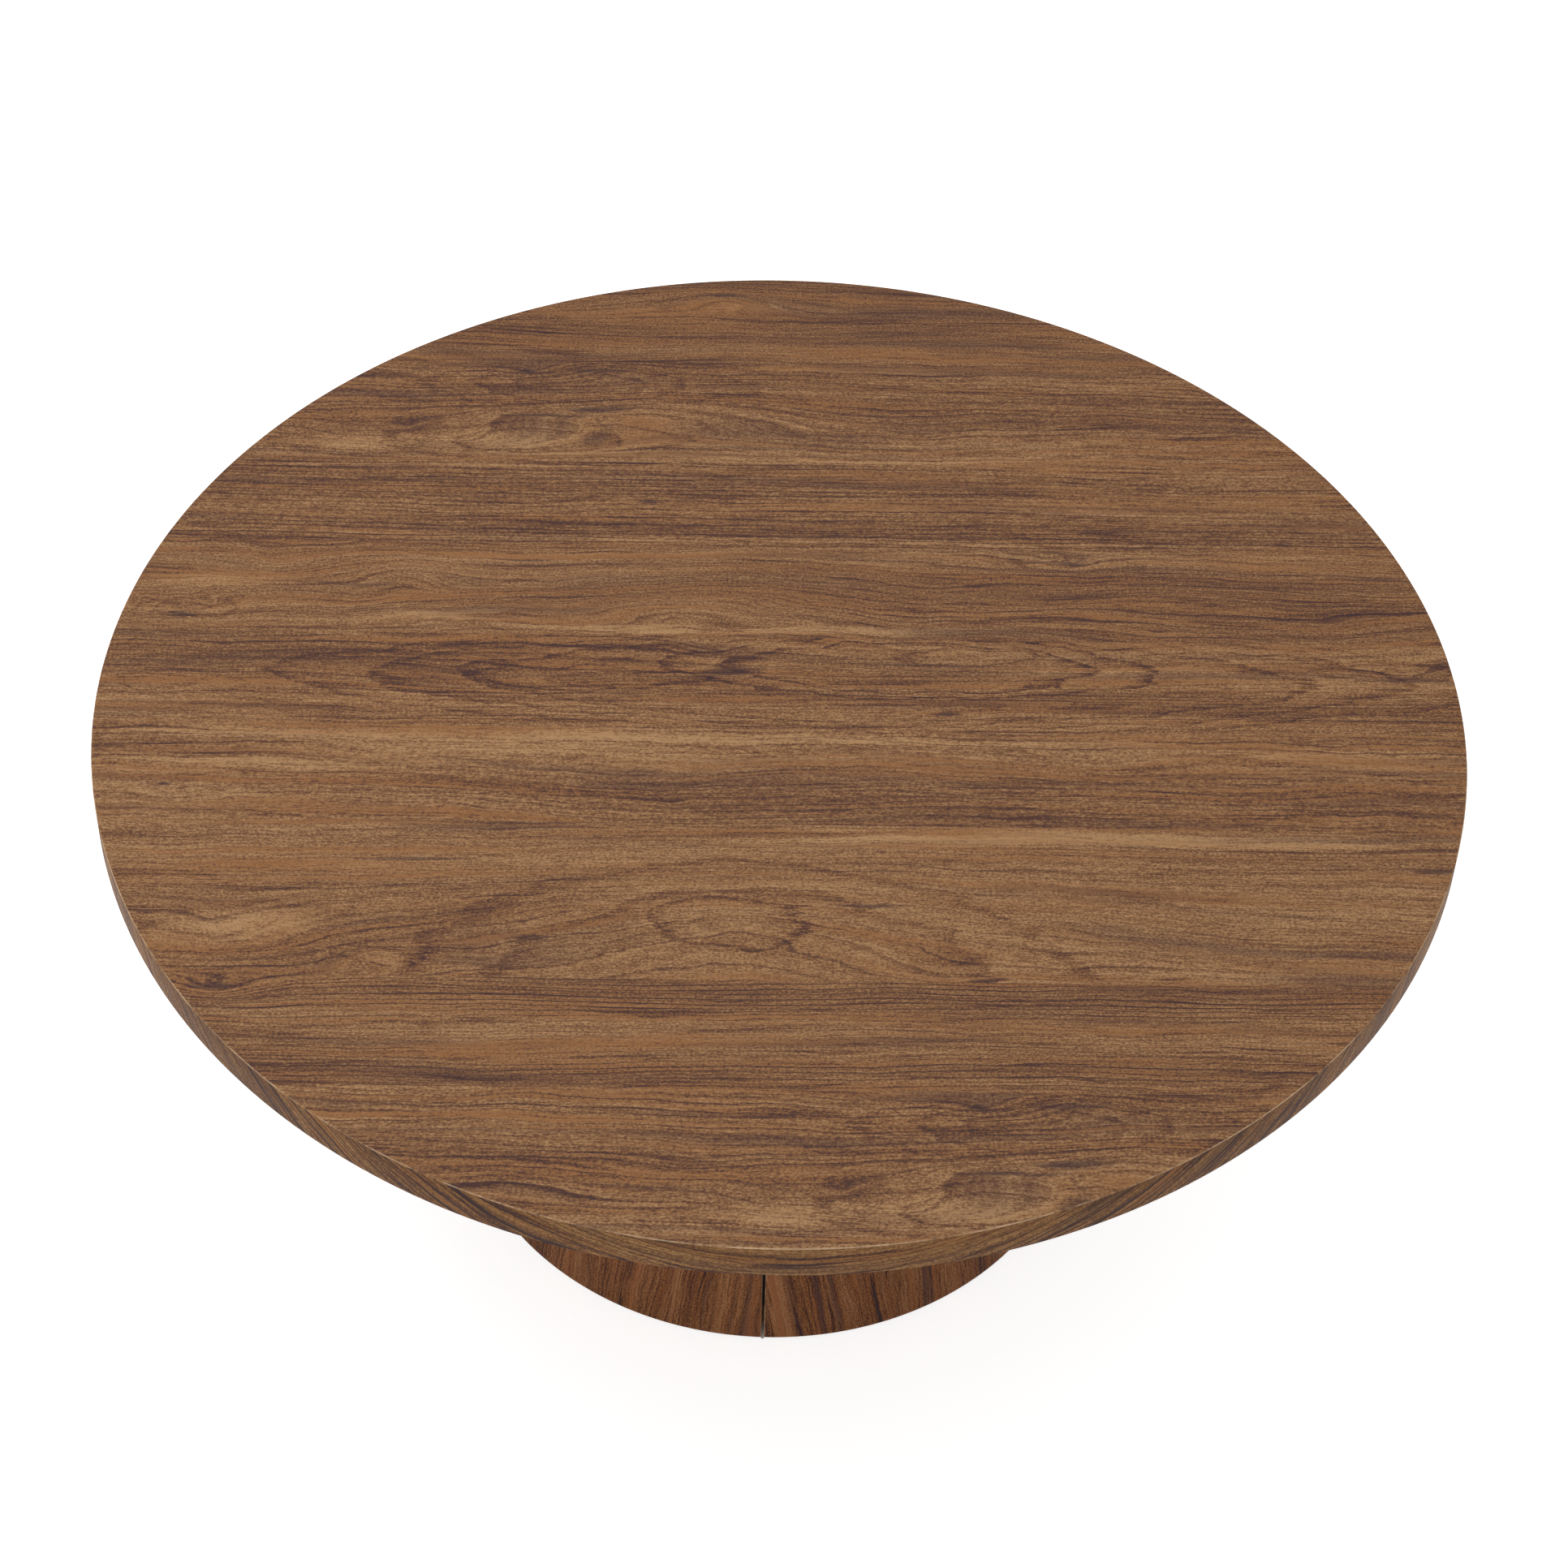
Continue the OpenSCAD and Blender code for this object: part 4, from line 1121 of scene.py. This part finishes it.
class TABLE_OT_pads(bpy.types.Operator):
    """Finish the rubber pads and buffers and the plastic glides"""
    bl_idname = "table.pads"
    bl_label = "Pads and glides"

    def execute(self, context):
        look = context.scene.table_finishes
        rubber = plain_finish("black_rubber", look.rubber, 0.80, 35.0, 1800.0, 0.18, 0.00008)
        plastic = plain_finish("black_plastic", look.plastic, 0.55, 45.0, 1600.0, 0.2, 0.00008)
        clad(rubber, "rest_pads", "stop_buffers")
        clad(plastic, "foot_glides")
        return {"FINISHED"}


class TABLE_OT_stage(bpy.types.Operator):
    """Lay the floor, hang the lamps and set the camera"""
    bl_idname = "table.stage"
    bl_label = "Stage"

    def execute(self, context):
        set_stage(context.scene.table_stage)
        return {"FINISHED"}


class TABLE_PT_panel(bpy.types.Panel):
    """Lists the table's steps and settings"""
    bl_idname = "TABLE_PT_panel"
    bl_label = "Tilt-top table"
    bl_space_type = "VIEW_3D"
    bl_region_type = "UI"
    bl_category = "Table"

    def draw(self, context):
        for step in STEPS:
            self.layout.operator(step.bl_idname)
        for key in SETTINGS:
            group = getattr(context.scene, key)
            box = self.layout.box()
            for name in group.bl_rna.properties.keys():
                if name not in ("rna_type", "name"):
                    box.prop(group, name)


SETTINGS = {"table_walnut": TableWalnut, "table_forms": TableForms,
            "table_finishes": TableFinishes, "table_stage": TableStage}
STEPS = (TABLE_OT_top_foil, TABLE_OT_drum_foil, TABLE_OT_boards, TABLE_OT_shells,
         TABLE_OT_battens, TABLE_OT_pivots, TABLE_OT_catch, TABLE_OT_fasteners, TABLE_OT_pads,
         TABLE_OT_stage)
CLASSES = tuple(SETTINGS.values()) + STEPS + (TABLE_PT_panel,)


def register():
    for each in CLASSES:
        bpy.utils.register_class(each)
    for name, group in SETTINGS.items():
        setattr(bpy.types.Scene, name, bpy.props.PointerProperty(type=group))


def unregister():
    for name in SETTINGS:
        delattr(bpy.types.Scene, name)
    for each in reversed(CLASSES):
        bpy.utils.unregister_class(each)


def main():
    register()
    bpy.ops.table.top_foil()
    bpy.ops.table.drum_foil()
    bpy.ops.table.boards()
    bpy.ops.table.shells()
    bpy.ops.table.battens()
    bpy.ops.table.pivots()
    bpy.ops.table.catch()
    bpy.ops.table.fasteners()
    bpy.ops.table.pads()
    bpy.ops.table.stage()


if __name__ == "__main__":
    main()
